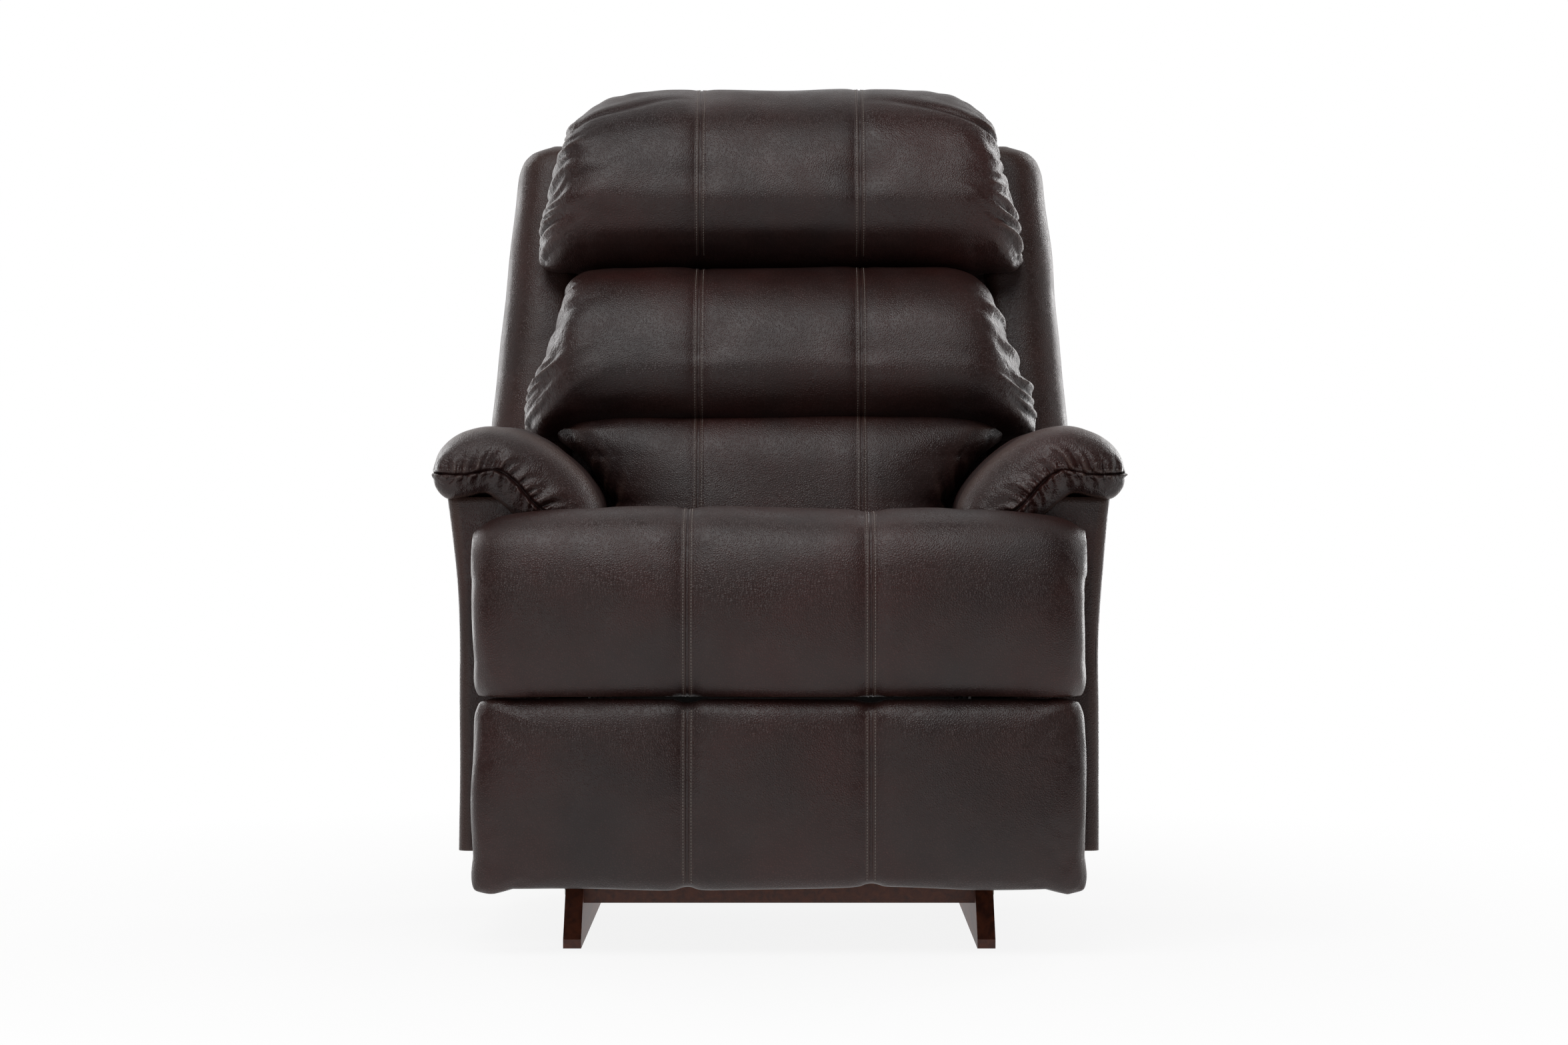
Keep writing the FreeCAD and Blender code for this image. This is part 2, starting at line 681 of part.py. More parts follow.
def make_arms():
    top_rear = "arm_rear + (arm_top + 60 - arm_kink) * tan(rake)"
    far = "arm_rear + 300"
    behind = plate("rear_space", ("-pad_outer - 60", "0", "0"), "2 * (pad_outer + 60)", [
        ("arm_rear", "arm_bottom - 20"), (far, "arm_bottom - 20"), (far, "arm_top + 60"),
        (top_rear, "arm_top + 60"), ("arm_rear", "arm_kink"),
    ])
    outer = plate("cover_blank", ("0", "arm_front", "0"), "hinge_y - arm_front + 15", [
        ("arm_inner", "arm_bottom"), ("arm_outer", "arm_bottom"), ("arm_outer", "flare_start"),
        ("arm_flare", "arm_top"), ("arm_inner", "arm_top"),
    ], plane="XZ")
    inner = plate("cover_hollow", ("0", "ply_front", "0"), "hinge_y - arm_front + 30", [
        ("arm_inner + cover_thick", "arm_bottom - 10"), ("cavity_outer", "arm_bottom - 10"),
        ("cavity_outer", "flare_start"), ("cavity_flare + (arm_flare - arm_outer) / 16", "arm_top + 10"),
        ("arm_inner + cover_thick", "arm_top + 10"),
    ], plane="XZ")
    window = box("cover_window", ("arm_inner - 5", "arm_inner + cover_thick + 5"),
                 ("ply_front", "hinge_y + 60"), ("arm_bottom - 10", "inner_cover_bottom"))
    right_cover = keep(cut("cover_right", outer, inner, window, behind), "right_arm_cover")
    opening = box("pull_opening", ("-arm_outer - 5", "-cavity_outer + 5"),
                  ("pull_y - pull_half_width - bezel_wall", "pull_y + pull_half_width + bezel_wall"),
                  ("pull_z - pull_half_height - bezel_wall", "pull_z + pull_half_height + bezel_wall"))
    keep(cut("cover_left", mirror("cover_left_blank", right_cover), opening), "left_arm_cover")
    ply = plate("ply_blank", ("ply_inner", "0", "0"), "ply_thick", [
        ("ply_front", "arm_bottom + 2"), ("hinge_y + 15", "arm_bottom + 2"), ("hinge_y + 15", "ply_top"),
        ("ply_front", "ply_top"),
    ], [("cam_centre_y", "cam_centre_z", "dowel_radius + pin_clear")])
    right_ply = keep(cut("ply_right", ply, behind), "right_arm_panel")
    passage = cylinder("cable_passage", "x", ("-ply_outer - 1", "pull_y", "pull_z"), "ply_thick + 2",
                       "cable_radius + run_gap")
    keep(cut("ply_left", mirror("ply_left_blank", right_ply), passage), "left_arm_panel")
    board_outer = "cavity_outer - run_gap"
    front = box("front_board", ("ply_outer", board_outer), ("ply_front", "ply_front + ply_thick"),
                ("arm_bottom + 2", "ply_top"))
    keep(pair("front_boards", front), "arm_front_boards")
    rear = box("rear_board", ("ply_outer", board_outer), ("arm_rear - ply_thick", "arm_rear"),
               ("arm_bottom + 2", "ply_top"))
    keep(pair("rear_boards", rear), "arm_rear_boards")
    top = box("top_board_blank", ("arm_inner + cover_thick", "cavity_outer + 9"), ("ply_front", "hinge_y + 15"),
              ("ply_top", "arm_top"))
    keep(pair("top_boards", cut("top_board", top, behind)), "arm_top_boards")
    dowel = cylinder("dowel", "x", ("ply_inner", "cam_centre_y", "cam_centre_z"),
                     "cavity_outer - ply_inner + 5", "dowel_radius")
    keep(pair("dowels", dowel), "arm_dowels")
    keep(box("rear_board_cross", ("-ply_inner", "ply_inner"), ("arm_rear - ply_thick", "arm_rear"),
             ("cam_top + 5", "hinge_z - hinge_half_height - 2")), "rear_cross_board")
    skin = box("rear_skin", ("-arm_outer", "arm_outer"), ("arm_rear", "arm_rear + cover_thick"),
               ("rear_cover_bottom", "rear_cover_top"))
    slot = box("hinge_slot", ("hinge_plate_inner - run_gap", "ply_inner + run_gap"),
               ("arm_rear - 1", "arm_rear + cover_thick + 1"),
               ("hinge_z - hinge_half_height - run_gap", "rear_cover_top + 1"))
    keep(cut("rear_skin_cut", skin, slot, mirror("hinge_slot_left", slot)), "rear_cover")


def pad_section(y, grow, crest, inner):
    """One slice across a right arm pad: flat on its board, drooping inside, round outside."""
    outer = num("pad_outer")
    base = num("arm_top + run_gap")
    wall = num("arm_inner - 2")
    droop = num("pad_droop")

    def at(x, z):
        return Vector(x, y, z)

    edge = outer - 22 - grow
    low = droop + grow
    top = crest - grow
    inside = inner + grow
    width = outer - grow - inside
    return wire_of([
        at(edge, base), at(wall, base), at(wall, low + 8),
        (at((wall + inside + 8) / 2, low), at(inside + 8, low + 10)),
        (at(inside + 0.055 * width, low + 0.46 * (top - low)), at(inside + 0.24 * width, low + 0.72 * (top - low))),
        (at(inside + 0.52 * width, top), at(inside + 0.79 * width, top - 0.12 * (top - base))),
        (at(inside + 0.958 * width, base + 0.66 * (top - base)), at(outer - grow, base + 0.38 * (top - base))),
        (at(outer - 5 - grow, base + 0.13 * (top - base)), at(edge, base)),
    ])


def make_pads():
    front = num("pad_front")
    rear = num("pad_rear")
    crest = num("pad_crest")
    inner = num("pad_inner")
    length = rear - front
    nose = 30
    tail = 40

    def station(y):
        share = (y - front) / length
        grow = roll(front + nose - y, nose, nose, 22) + roll(y - rear + tail, tail, tail, 18)
        return y, grow, crest - 26 * share ** 3, inner + 18 * share
    places = [front + nose - x for x in reversed(roll_places(nose, nose))]
    places += [front + length * share for share in (0.25, 0.5, 0.7, 0.85)]
    places += [rear - tail + x for x in roll_places(tail, tail)]
    right = solid_feature("pad_right", loft([pad_section(*station(y)) for y in places]))
    keep(right, "right_arm_pad")
    keep(mirror("pad_left", right), "left_arm_pad")


def make_release():
    lip = "bezel_lip + bezel_wall"
    flange = box("bezel_flange", ("-arm_outer - bezel_proud", "-arm_outer"),
                 (f"pull_y - pull_half_width - {lip}", f"pull_y + pull_half_width + {lip}"),
                 (f"pull_z - pull_half_height - {lip}", f"pull_z + pull_half_height + {lip}"))
    cup = box("bezel_cup", ("-arm_outer", "-arm_outer + pull_depth"),
              ("pull_y - pull_half_width - bezel_wall", "pull_y + pull_half_width + bezel_wall"),
              ("pull_z - pull_half_height - bezel_wall", "pull_z + pull_half_height + bezel_wall"))
    hollow = box("bezel_hollow", ("-arm_outer - bezel_proud - 1", "-arm_outer + pull_depth - bezel_wall"),
                 ("pull_y - pull_half_width", "pull_y + pull_half_width"),
                 ("pull_z - pull_half_height", "pull_z + pull_half_height"))
    axis_x = "-arm_outer + 1 + paddle_thick / 2"
    pin_reach = "pull_half_width + bezel_wall - run_gap"
    bore = cylinder("bezel_bore", "y", (axis_x, f"pull_y - ({pin_reach})", "paddle_axis_z"),
                    f"2 * ({pin_reach})", "paddle_pin + pin_clear")
    keep(cut("bezel", fuse("bezel_blank", flange, cup), hollow, bore), "release_bezel")
    wing = "pull_half_width - paddle_side_gap"
    leaf = box("paddle_leaf", ("-arm_outer + 1", "-arm_outer + 1 + paddle_thick"),
               (f"pull_y - ({wing})", f"pull_y + ({wing})"),
               ("paddle_axis_z + paddle_thick / 2 - paddle_height", "paddle_axis_z + paddle_thick / 2"))
    pin = cylinder("paddle_pivot", "y", (axis_x, f"pull_y - ({pin_reach}) + run_gap", "paddle_axis_z"),
                   f"2 * ({pin_reach} - run_gap)", "paddle_pin")
    keep(fuse("paddle", leaf, pin), "release_paddle")
    keep(cylinder("cable", "x", ("-arm_outer + pull_depth", "pull_y", "pull_z"),
                  "arm_outer - pull_depth - runner_inner", "cable_radius"), "release_cable")


# Legrest linkage

def bar_angle(start, end):
    """The angle of a bar between two points: 0 is straight forward, 90 is straight up."""
    rise = num(end[1]) - num(start[1])
    forward = num(start[0]) - num(end[0])
    return math.degrees(math.atan2(rise, forward))


def make_legrest():
    pin = "rivet_radius + pin_clear"
    keep(cylinder("rod", "x", ("-runner_inner - 2", "rod_y", "rod_z"), "2 * (runner_inner + 2)", "rod_radius"),
         "drive_rod")
    low = "inner_layer"
    high = "outer_layer + link_thick"
    swing = link_bar("swing_bar", "outer_layer", ("rod_y", "rod_z"), "swing_rest", "swing_length",
                     [("0", "rod_radius + pin_clear"), ("swing_length", pin)], "link_width + 4")
    keep(pair("swings", swing, rivet("elbow_rivet", low, high, "elbow_y", "elbow_z")), "swing_arms")
    guide = link_bar("guide_bar", "outer_layer", ("guide_y", "guide_z"), "swing_rest", "swing_length",
                     [("0", pin), ("swing_length - coupler_crank", pin), ("swing_length", pin)])
    keep(pair("guides", guide, rivet("cross_rivet", low, high, "cross_y", "cross_z"),
              rivet("crank_rivet", low, high, "crank_y", "crank_z")), "guide_arms")
    carrier_angle = bar_angle(("elbow_y", "elbow_z"), ("panel_y", "panel_z"))
    carrier = link_bar("carrier_bar", "inner_layer", ("elbow_y", "elbow_z"), carrier_angle, "carrier_length",
                       [("0", pin), ("guide_spacing", "rivet_radius + run_gap"), ("carrier_length", pin)])
    keep(pair("carriers", carrier, rivet("panel_rivet", low, high, "panel_y", "panel_z")), "carrier_links")
    coupler_angle = bar_angle(("crank_y", "crank_z"), ("drive_y", "drive_z"))
    coupler = link_bar("coupler_bar", "inner_layer", ("crank_y", "crank_z"), coupler_angle, "coupler_length",
                       [("0", pin), ("coupler_length", "rivet_radius + coupler_slack")], "coupler_end")
    keep(pair("couplers", coupler), "coupler_links")
    bracket = plate("panel_bracket", ("outer_layer", "0", "0"), "link_thick", [
        ("board_rear", "panel_z - 30"), ("panel_y + 12", "panel_z - 10"), ("panel_y + 12", "panel_z + 10"),
        ("drive_y + 11", "drive_z + 11"), ("board_rear", "drive_z + 11"),
    ], [("panel_y", "panel_z", pin), ("drive_y", "drive_z", pin)])
    keep(pair("brackets", bracket, rivet("drive_rivet", low, high, "drive_y", "drive_z")), "legrest_brackets")
    keep(box("board", ("-board_half_width", "board_half_width"), ("board_front", "board_rear"),
             ("board_bottom", "board_top")), "legrest_board")


def cushion_stations(half_width, run, depth):
    """Stations across a cushion: sewn channels drawn in, side edges rolled in."""
    places = seam_places() + roll_places(half_width, run)
    return mirrored_stations([(x, seam_inset(x) + roll(x, half_width, run, depth)) for x in places])


def make_legrest_cushion():
    front = num("front_y")
    back = num("board_front - run_gap")
    low = num("legrest_bottom")
    high = num("legrest_top")

    def section(x, inset):
        def at(y, z):
            return Vector(x, y, z)
        middle = (low + high) / 2
        return wire_of([
            at(back, low + 14 + inset * 0.4), at(back, high - 14 - inset * 0.4),
            (at(back - 17, high - 1 - inset), at(front + 13 + inset, high - 16 - inset)),
            (at(front + inset, middle), at(front + 11 + inset, low + 16 + inset)),
            (at(back - 20, low + inset), at(back, low + 14 + inset * 0.4)),
        ])
    wires = [section(*station) for station in cushion_stations(num("legrest_half_width"), 40, 24)]
    keep(solid_feature("legrest_pad", loft(wires)), "legrest_cushion")


# Seat

def sinuous_edges(start, along, across, length, half, bend):
    """A zigzag wire: straight runs across the path joined by half-round bends."""
    count = int(length // (2 * bend)) - 1
    lead = (length - 2 * bend * count) / 2
    edges = [Part.LineSegment(start, start + along * (lead - bend)).toShape()]
    here = start + along * (lead - bend)
    corner = here + along * bend + across * bend
    elbow = here + along * (bend * math.sin(math.pi / 4)) + across * (bend * (1 - math.cos(math.pi / 4)))
    edges.append(Part.Arc(here, elbow, corner).toShape())
    here = corner
    side = 1
    middle = start + along * lead
    for index in range(count):
        run_end = middle + across * (side * half)
        edges.append(Part.LineSegment(here, run_end).toShape())
        bend_mid = run_end + along * bend + across * (side * bend)
        bend_end = run_end + along * (2 * bend)
        edges.append(Part.Arc(run_end, bend_mid, bend_end).toShape())
        here = bend_end
        middle = middle + along * (2 * bend)
        side = -side
    corner = middle - across * (side * bend)
    edges.append(Part.LineSegment(here, corner).toShape())
    end = middle + along * bend
    elbow = end - along * (bend * math.sin(math.pi / 4)) - across * (side * bend * (1 - math.cos(math.pi / 4)))
    edges.append(Part.Arc(corner, elbow, end).toShape())
    edges.append(Part.LineSegment(end, start + along * length).toShape())
    return edges


def make_seat_frame():
    side = box("seat_side", ("seat_rail_inner", "seat_rail_outer"), ("seat_rail_front", "seat_rear"),
               ("seat_rail_bottom", "seat_rail_top"))
    keep(pair("seat_sides", side), "seat_side_rails")
    keep(box("seat_front", ("-seat_rail_outer", "seat_rail_outer"), ("seat_front_face", "seat_rail_front"),
             ("seat_front_rail_bottom", "seat_rail_top")), "seat_front_rail")
    keep(box("seat_back_rail", ("-seat_rail_inner", "seat_rail_inner"),
             ("seat_rear - seat_rear_rail_thick", "seat_rear"), ("seat_rail_bottom", "seat_rail_top")),
         "seat_rear_rail")
    start_y = num("seat_rail_front")
    length = num("seat_rear - seat_rear_rail_thick - seat_rail_front")
    height = num("seat_rail_top - sinuous_drop")
    wires = []
    for index in range(-2, 3):
        start = Vector(index * num("seat_spring_step"), start_y, height)
        edges = sinuous_edges(start, Vector(0, 1, 0), Vector(1, 0, 0), length, num("sinuous_half"),
                              num("sinuous_bend"))
        wires.append(pipe(edges, num("sinuous_wire")))
    keep(solid_feature("seat_wires", Part.makeCompound(wires)), "seat_springs")
    pin = "rivet_radius + pin_clear"
    bracket = plate("seat_hanger", ("inner_layer", "0", "0"), "link_thick", [
        ("seat_link_front_y - 14", "seat_link_foot - 14"), ("seat_link_rear_y + 14", "seat_link_foot - 14"),
        ("seat_link_rear_y + 14", "seat_link_foot + 14"), ("seat_link_rear_y - 16", "seat_rail_top - 4"),
        ("seat_link_front_y + 16", "seat_rail_top - 4"), ("seat_link_front_y - 14", "seat_link_foot + 14"),
    ], [("seat_link_front_y", "seat_link_foot", pin), ("seat_link_rear_y", "seat_link_foot", pin)])
    pins = []
    for label in ("front", "rear"):
        at_y = f"seat_link_{label}_y"
        link = link_bar(label + "_hanger", "outer_layer", (at_y, "seat_link_top"), "-90", "seat_link_length",
                        [("0", pin), ("seat_link_length", pin)])
        keep(pair(label + "_hangers", link), label + "_swing_links")
        pins.append(rivet(label + "_foot_rivet", "inner_layer", "outer_layer + link_thick", at_y,
                          "seat_link_foot"))
    keep(pair("hangers", bracket, *pins), "seat_brackets")


def make_seat_cushion():
    front = num("front_y")
    rail = num("seat_front_face - run_gap")
    rear = num("seat_rear")
    deck = num("deck")
    drop = num("seat_drop")
    crown = num("seat_crown")
    rear_top = num("seat_rear_top")

    def section(x, inset):
        def at(y, z):
            return Vector(x, y, z)
        face = front + inset
        top = crown - inset
        back_top = rear_top - inset
        return wire_of([
            at(rear, deck), at(rail, deck), at(rail, drop + 28),
            (at((rail + front) / 2, drop + inset), at(face, drop + 52)),
            (at(face + 2, (drop + crown) / 2 + 20), at(face + 26, top - 26)),
            (at(face + 58, top - 5), at(face + 108, top)),
            (at((face + rear) / 2 + 60, (top + back_top) / 2 + 4), at(rear, back_top)),
            at(rear, deck),
        ])
    wires = [section(*station) for station in cushion_stations(num("seat_half_width"), 55, 36)]
    blank = solid_feature("seat_pad", loft(wires))
    tools = []
    for label, sign in (("right", ""), ("left", "-")):
        near, far = ("seat_inner_half", "pad_outer") if not sign else ("-pad_outer", "-(seat_inner_half)")
        tools.append(box(label + "_arm_notch", (near, far), ("arm_front - 1", "seat_rear + 40"),
                         ("seat_drop", "seat_crown + 40")))
        near, far = ("pad_inner - 5", "pad_outer") if not sign else ("-pad_outer", "5 - pad_inner")
        tools.append(box(label + "_pad_notch", (near, far), ("pad_front - 4", "seat_rear + 40"),
                         ("pad_droop - pad_clear", "seat_crown + 40")))
    keep(cut("seat_pad_cut", blank, *tools), "seat_cushion")


# Back, drawn upright about its hinge and leaned by the rake

def back_place():
    return FreeCAD.Placement(Vector(0, num("hinge_y"), num("hinge_z")), Rotation(Vector(1, 0, 0), -num("rake")))


def back_plate(name, start_x, thick, outline, holes=()):
    turn = Rotation(Vector(1, 0, 0), -num("rake"))
    return plate(name, (start_x, "hinge_y", "hinge_z"), thick, outline, holes, turn=turn)


def rectangle(low, high, bottom, top):
    return [(low, bottom), (high, bottom), (high, top), (low, top)]


def make_back_frame():
    upright = rectangle("upright_front", "upright_rear", "upright_foot", "upright_top")
    hole = [("0", "0", "hinge_pin + pin_clear")]
    thick = "upright_outer - upright_inner"
    right = back_plate("upright_right", "upright_inner", thick, upright, hole)
    keep(right, "back_right_upright")
    keep(mirror("upright_left", right), "back_left_upright")
    for label, low in (("bottom", "back_rail_low"), ("top", "upright_top - back_rail_height")):
        outline = rectangle("upright_front", "-upright_front", low, f"{low} + back_rail_height")
        keep(back_plate(label + "_rail_back", "-upright_inner", "2 * upright_inner", outline),
             f"back_{label}_rail")
    start_u = num("back_rail_low + back_rail_height")
    length = num("upright_top - back_rail_height") - start_u
    wires = []
    for index in (-1.5, -0.5, 0.5, 1.5):
        start = Vector(index * num("back_spring_step"), num("upright_front + sinuous_drop"), start_u)
        edges = sinuous_edges(start, Vector(0, 0, 1), Vector(1, 0, 0), length, num("sinuous_half"),
                              num("sinuous_bend"))
        wires.append(pipe(edges, num("sinuous_wire")))
    keep(solid_feature("back_wires", Part.makeCompound(wires), back_place()), "back_springs")
    bracket = plate("hinge_bracket", ("hinge_plate_inner", "0", "0"), "hinge_plate_thick", [
        ("arm_rear - 70", "hinge_z - hinge_half_height"), ("hinge_y - 10", "hinge_z - hinge_half_height"),
        ("hinge_y + 16", "hinge_z - 10"), ("hinge_y + 16", "hinge_z + 10"),
        ("hinge_y - 10", "hinge_z + hinge_half_height"), ("arm_rear - 70", "hinge_z + hinge_half_height"),
    ], [("hinge_y", "hinge_z", "hinge_pin + pin_clear")])
    shank = cylinder("hinge_shank", "x", ("upright_inner - 2", "hinge_y", "hinge_z"),
                     "ply_inner - upright_inner + 2", "hinge_pin")
    head = cylinder("hinge_head", "x", ("upright_inner - 4", "hinge_y", "hinge_z"), "3.7", "hinge_pin + 4")
    washer = cylinder("hinge_washer", "x", ("upright_outer + run_gap", "hinge_y", "hinge_z"),
                      "hinge_plate_inner - upright_outer - run_gap", "hinge_pin + 5")
    keep(pair("hinge_sets", bracket, fuse("hinge_pivot", shank, head, washer)), "back_hinge_brackets")


def make_wings():
    front = num("wing_front")
    rear = num("wing_rear")
    inner = num("upright_outer")
    foot = num("wing_foot")
    top = num("wing_top")
    wide = num("wing_half_low")
    narrow = num("wing_half_high")

    def section(u, inset):
        share = (u - foot) / (top - foot)
        edge = wide + (narrow - wide) * share - inset
        near = front + inset
        far = rear - inset * 0.5

        def at(x, v):
            return Vector(x, v, u)
        return wire_of([
            at(inner, far), at(inner, near + 12),
            (at(inner + 12, near + 2), at(inner + 30, near)),
            (at(edge - 16, near + 12), at(edge - 2, near + 42)),
            (at(edge, near + 70), at(edge - 6, far - 10)),
            (at(edge - 9, far - 2), at(edge - 18, far)), at(inner, far),
        ])
    low_round = 14
    top_round = 40
    places = [foot + low_round - x for x in reversed(roll_places(low_round, low_round, 3))]
    places += [(foot + top) / 2] + [top - top_round + x for x in roll_places(top_round, top_round)]
    stations = []
    for u in places:
        turned = roll(u - top + top_round, top_round, top_round, 24)
        stations.append((u, turned + roll(foot + low_round - u, low_round, low_round, 10)))
    right = solid_feature("wing_right", loft([section(*station) for station in stations]), back_place())
    keep(right, "right_wing")
    keep(mirror("wing_left", right), "left_wing")


def make_outer_back():
    half = num("upright_outer - run_gap")
    front = num("upright_rear + run_gap")
    rear = num("wing_rear")
    foot = num("outer_back_foot")
    top = num("outer_back_top")

    def section(u, draw, narrow):
        def at(x, v):
            return Vector(x, v, u)
        edge = half - narrow
        return wire_of([
            at(-edge, front), at(edge, front), at(edge, rear - 14 - draw),
            (at(0, rear - draw), at(-edge, rear - 14 - draw)), at(-edge, front),
        ])
    stations = [(foot, 8, 0), (foot + 30, 0, 0), (top - 120, 0, 0), (top - 45, 3, 4), (top, 10, 16)]
    skin = solid_feature("back_skin", loft([section(*station) for station in stations]), back_place())
    near = num("upright_front + run_gap")

    def cap_section(u, draw):
        def at(x, v):
            return Vector(x, v, u)
        edge = half - 16 - draw
        return wire_of([
            at(-edge, near), at(edge, near), at(edge, rear - 24 - draw),
            (at(0, rear - 10 - draw), at(-edge, rear - 24 - draw)), at(-edge, near),
        ])
    low = num("upright_top + run_gap")
    high = num("outer_back_top + cap_height")
    caps = [(low, 0), (top, 0), ((top + high) / 2, 3), (high, 12)]
    cap = solid_feature("back_cap", loft([cap_section(*station) for station in caps]), back_place())
    keep(fuse("back_shell", skin, cap), "outer_back")


def pillow(name, label, low, top, front, half_low, half_high, overhang):
    """A back pillow: narrower at the top, rounded forward, drawn in at its seams and sides."""
    inner_back = num("upright_front - run_gap")
    wing_back = num("wing_front - wing_crown")
    wing_start = num("upright_outer")
    height = top - low
    slant = half_low - half_high
    corner = 60
    thickness = inner_back - front

    def station(x):
        past = max(x - half_high, 0) / slant
        fall = roll(min(x, half_high), half_high, corner, 44) + past * (0.72 * height - 44)
        lift = roll(x, half_low, corner, 22)
        inset = seam_inset(x) + roll(x, half_low, slant + 40, 0.62 * thickness)
        return x, fall, lift, inset

    places = seam_places() + roll_places(half_high, corner)[:-1]
    places = sorted(places + [wing_start - 14, wing_start - 2])
    places += [half_high + slant * math.sin(math.pi / 2 * step / 5) for step in range(6)]
    stations = [station(x) for x in places]

    def section(x, fall, lift, inset):
        u_top = top - fall
        u_low = low + lift
        rise = u_top - u_low
        share = min(max((abs(x) - wing_start + 14) / 12, 0.0), 1.0)
        back = inner_back + share * (wing_back - inner_back)
        face = front + inset
        depth = back - face

        def at(v, u):
            return Vector(x, v, u)
        return wire_of([
            at(back, u_low + 0.04 * rise), at(back, u_top - 0.1 * rise),
            (at(back - 0.24 * depth, u_top), at(back - 0.62 * depth, u_top - 0.06 * rise)),
            (at(face + 0.08 * depth, u_top - 0.26 * rise), at(face, u_low + 0.45 * rise)),
            (at(face + 0.03 * depth, u_low + 0.2 * rise), at(face + overhang * depth, u_low + 0.04 * rise)),
            (at(back - 0.3 * depth, u_low), at(back, u_low + 0.04 * rise)),
        ])
    wires = [section(*station) for station in mirrored_stations(stations)]
    keep(solid_feature(name, loft(wires), back_place()), label)


def make_lower_back():
    """The plain cushion between the arms: its lower corners are cut away beside the arm pads."""
    back = num("upright_front - run_gap")
    low = num("lower_low")
    top = num("lower_top")
    front = num("lower_front")
    narrow = num("lower_half_low")
    wide = num("lower_half_high")
    height = top - low

    def station(x):
        past = max(x - narrow, 0) / (wide - narrow)
        lift = height * (min(past * 10, 1) * 0.66 + past * 0.24)
        return x, lift, seam_inset(x) + roll(x, wide, wide - narrow + 30, 0.55 * (back - front))

    places = seam_places() + [narrow - 25] + [narrow + (wide - narrow) * share for share in
                                              (0, 0.05, 0.1, 0.3, 0.5, 0.7, 0.85, 1)]
    stations = [station(x) for x in places]

    def section(x, lift, inset):
        u_low = low + lift
        rise = top - u_low
        face = front + inset
        depth = back - face

        def at(v, u):
            return Vector(x, v, u)
        return wire_of([
            at(back, u_low + 0.05 * rise), at(back, top - 0.03 * rise),
            (at(back - 0.4 * depth, top), at(face + 0.16 * depth, top - 0.05 * rise)),
            (at(face, u_low + 0.55 * rise), at(face + 0.12 * depth, u_low + 0.12 * rise)),
            (at(back - 0.5 * depth, u_low), at(back, u_low + 0.05 * rise)),
        ])
    wires = [section(*station) for station in mirrored_stations(stations)]
    keep(solid_feature("lower_pad", loft(wires), back_place()), "lower_back_cushion")


make_base()
make_rocker_springs()
chassis_bolts = make_cams()
make_plates(chassis_bolts)
make_arms()
make_pads()
make_release()
make_legrest()
make_legrest_cushion()
make_seat_frame()
make_seat_cushion()
make_back_frame()
make_wings()
make_outer_back()
pillow("head_pad", "head_pillow", num("head_low"), num("head_top"), num("head_front"), num("head_half_low"),
       num("head_half_high"), 0.22)
pillow("lumbar_pad", "lumbar_pillow", num("lumbar_low"), num("lumbar_top"), num("lumbar_front"),
       num("lumbar_half_low"), num("lumbar_half_high"), 0.16)
make_lower_back()
doc.recompute()

for item in doc.Objects:
    if "Invalid" in item.State or "Error" in item.State:
        raise RuntimeError(f"{item.Name} did not build: {item.State}")
for item in subparts:
    if item.Shape.isNull() or not item.Shape.isValid():
        raise RuntimeError(f"{item.Label} has no valid shape")
    if not item.Shape.Solids:
        raise RuntimeError(f"{item.Label} has no solid")
    item.Shape.exportStep(f"parts/{item.Label}.step")
print(len(subparts), "sub-parts written")
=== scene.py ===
# %% [markdown]
# # A rocker recliner in dark leather
# The chair stands on two stained wood runners. Steel cams, links and plates carry a wooden frame,
# and everything that a hand touches is leather over foam: three back pillows, a seat that rolls over
# its front edge, a legrest panel, two fat arm pads and the plain panels of the arms and the back.
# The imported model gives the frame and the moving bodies. This lesson dresses it.

# %% Load the frame
import json
import math

import bmesh
import bpy
import numpy as np
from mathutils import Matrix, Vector
from mathutils.bvhtree import BVHTree


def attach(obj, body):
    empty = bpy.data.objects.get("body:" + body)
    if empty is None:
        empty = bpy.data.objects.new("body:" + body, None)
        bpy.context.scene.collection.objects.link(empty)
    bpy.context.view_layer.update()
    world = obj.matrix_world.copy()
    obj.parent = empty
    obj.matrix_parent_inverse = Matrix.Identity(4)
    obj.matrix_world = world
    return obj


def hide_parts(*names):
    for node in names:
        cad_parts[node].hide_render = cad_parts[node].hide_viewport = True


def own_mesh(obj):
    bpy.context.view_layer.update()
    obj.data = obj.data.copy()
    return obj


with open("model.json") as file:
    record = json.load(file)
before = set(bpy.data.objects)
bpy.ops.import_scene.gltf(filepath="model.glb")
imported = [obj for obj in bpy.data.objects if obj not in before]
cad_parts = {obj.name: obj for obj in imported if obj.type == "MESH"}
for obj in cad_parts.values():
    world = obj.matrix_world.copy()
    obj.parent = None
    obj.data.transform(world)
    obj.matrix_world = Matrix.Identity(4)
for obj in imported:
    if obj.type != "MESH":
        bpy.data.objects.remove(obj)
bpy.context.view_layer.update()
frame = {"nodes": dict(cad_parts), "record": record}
nodes = frame["nodes"]
scene = bpy.context.scene
MM = 0.001

# %% [markdown]
# ## Colours and nodes
# A colour picked on a screen is an sRGB value, while a shader wants linear light, so one function turns
# hex to linear. A second one adds a node, sets its fields and links its inputs in one line.


# %% Colour and node helpers
def linear(hex_colour):
    """The linear RGBA of an sRGB hex colour."""
    channels = [int(hex_colour[i:i + 2], 16) / 255 for i in (1, 3, 5)]
    return tuple(c / 12.92 if c <= 0.04045 else ((c + 0.055) / 1.055) ** 2.4 for c in channels) + (1.0,)


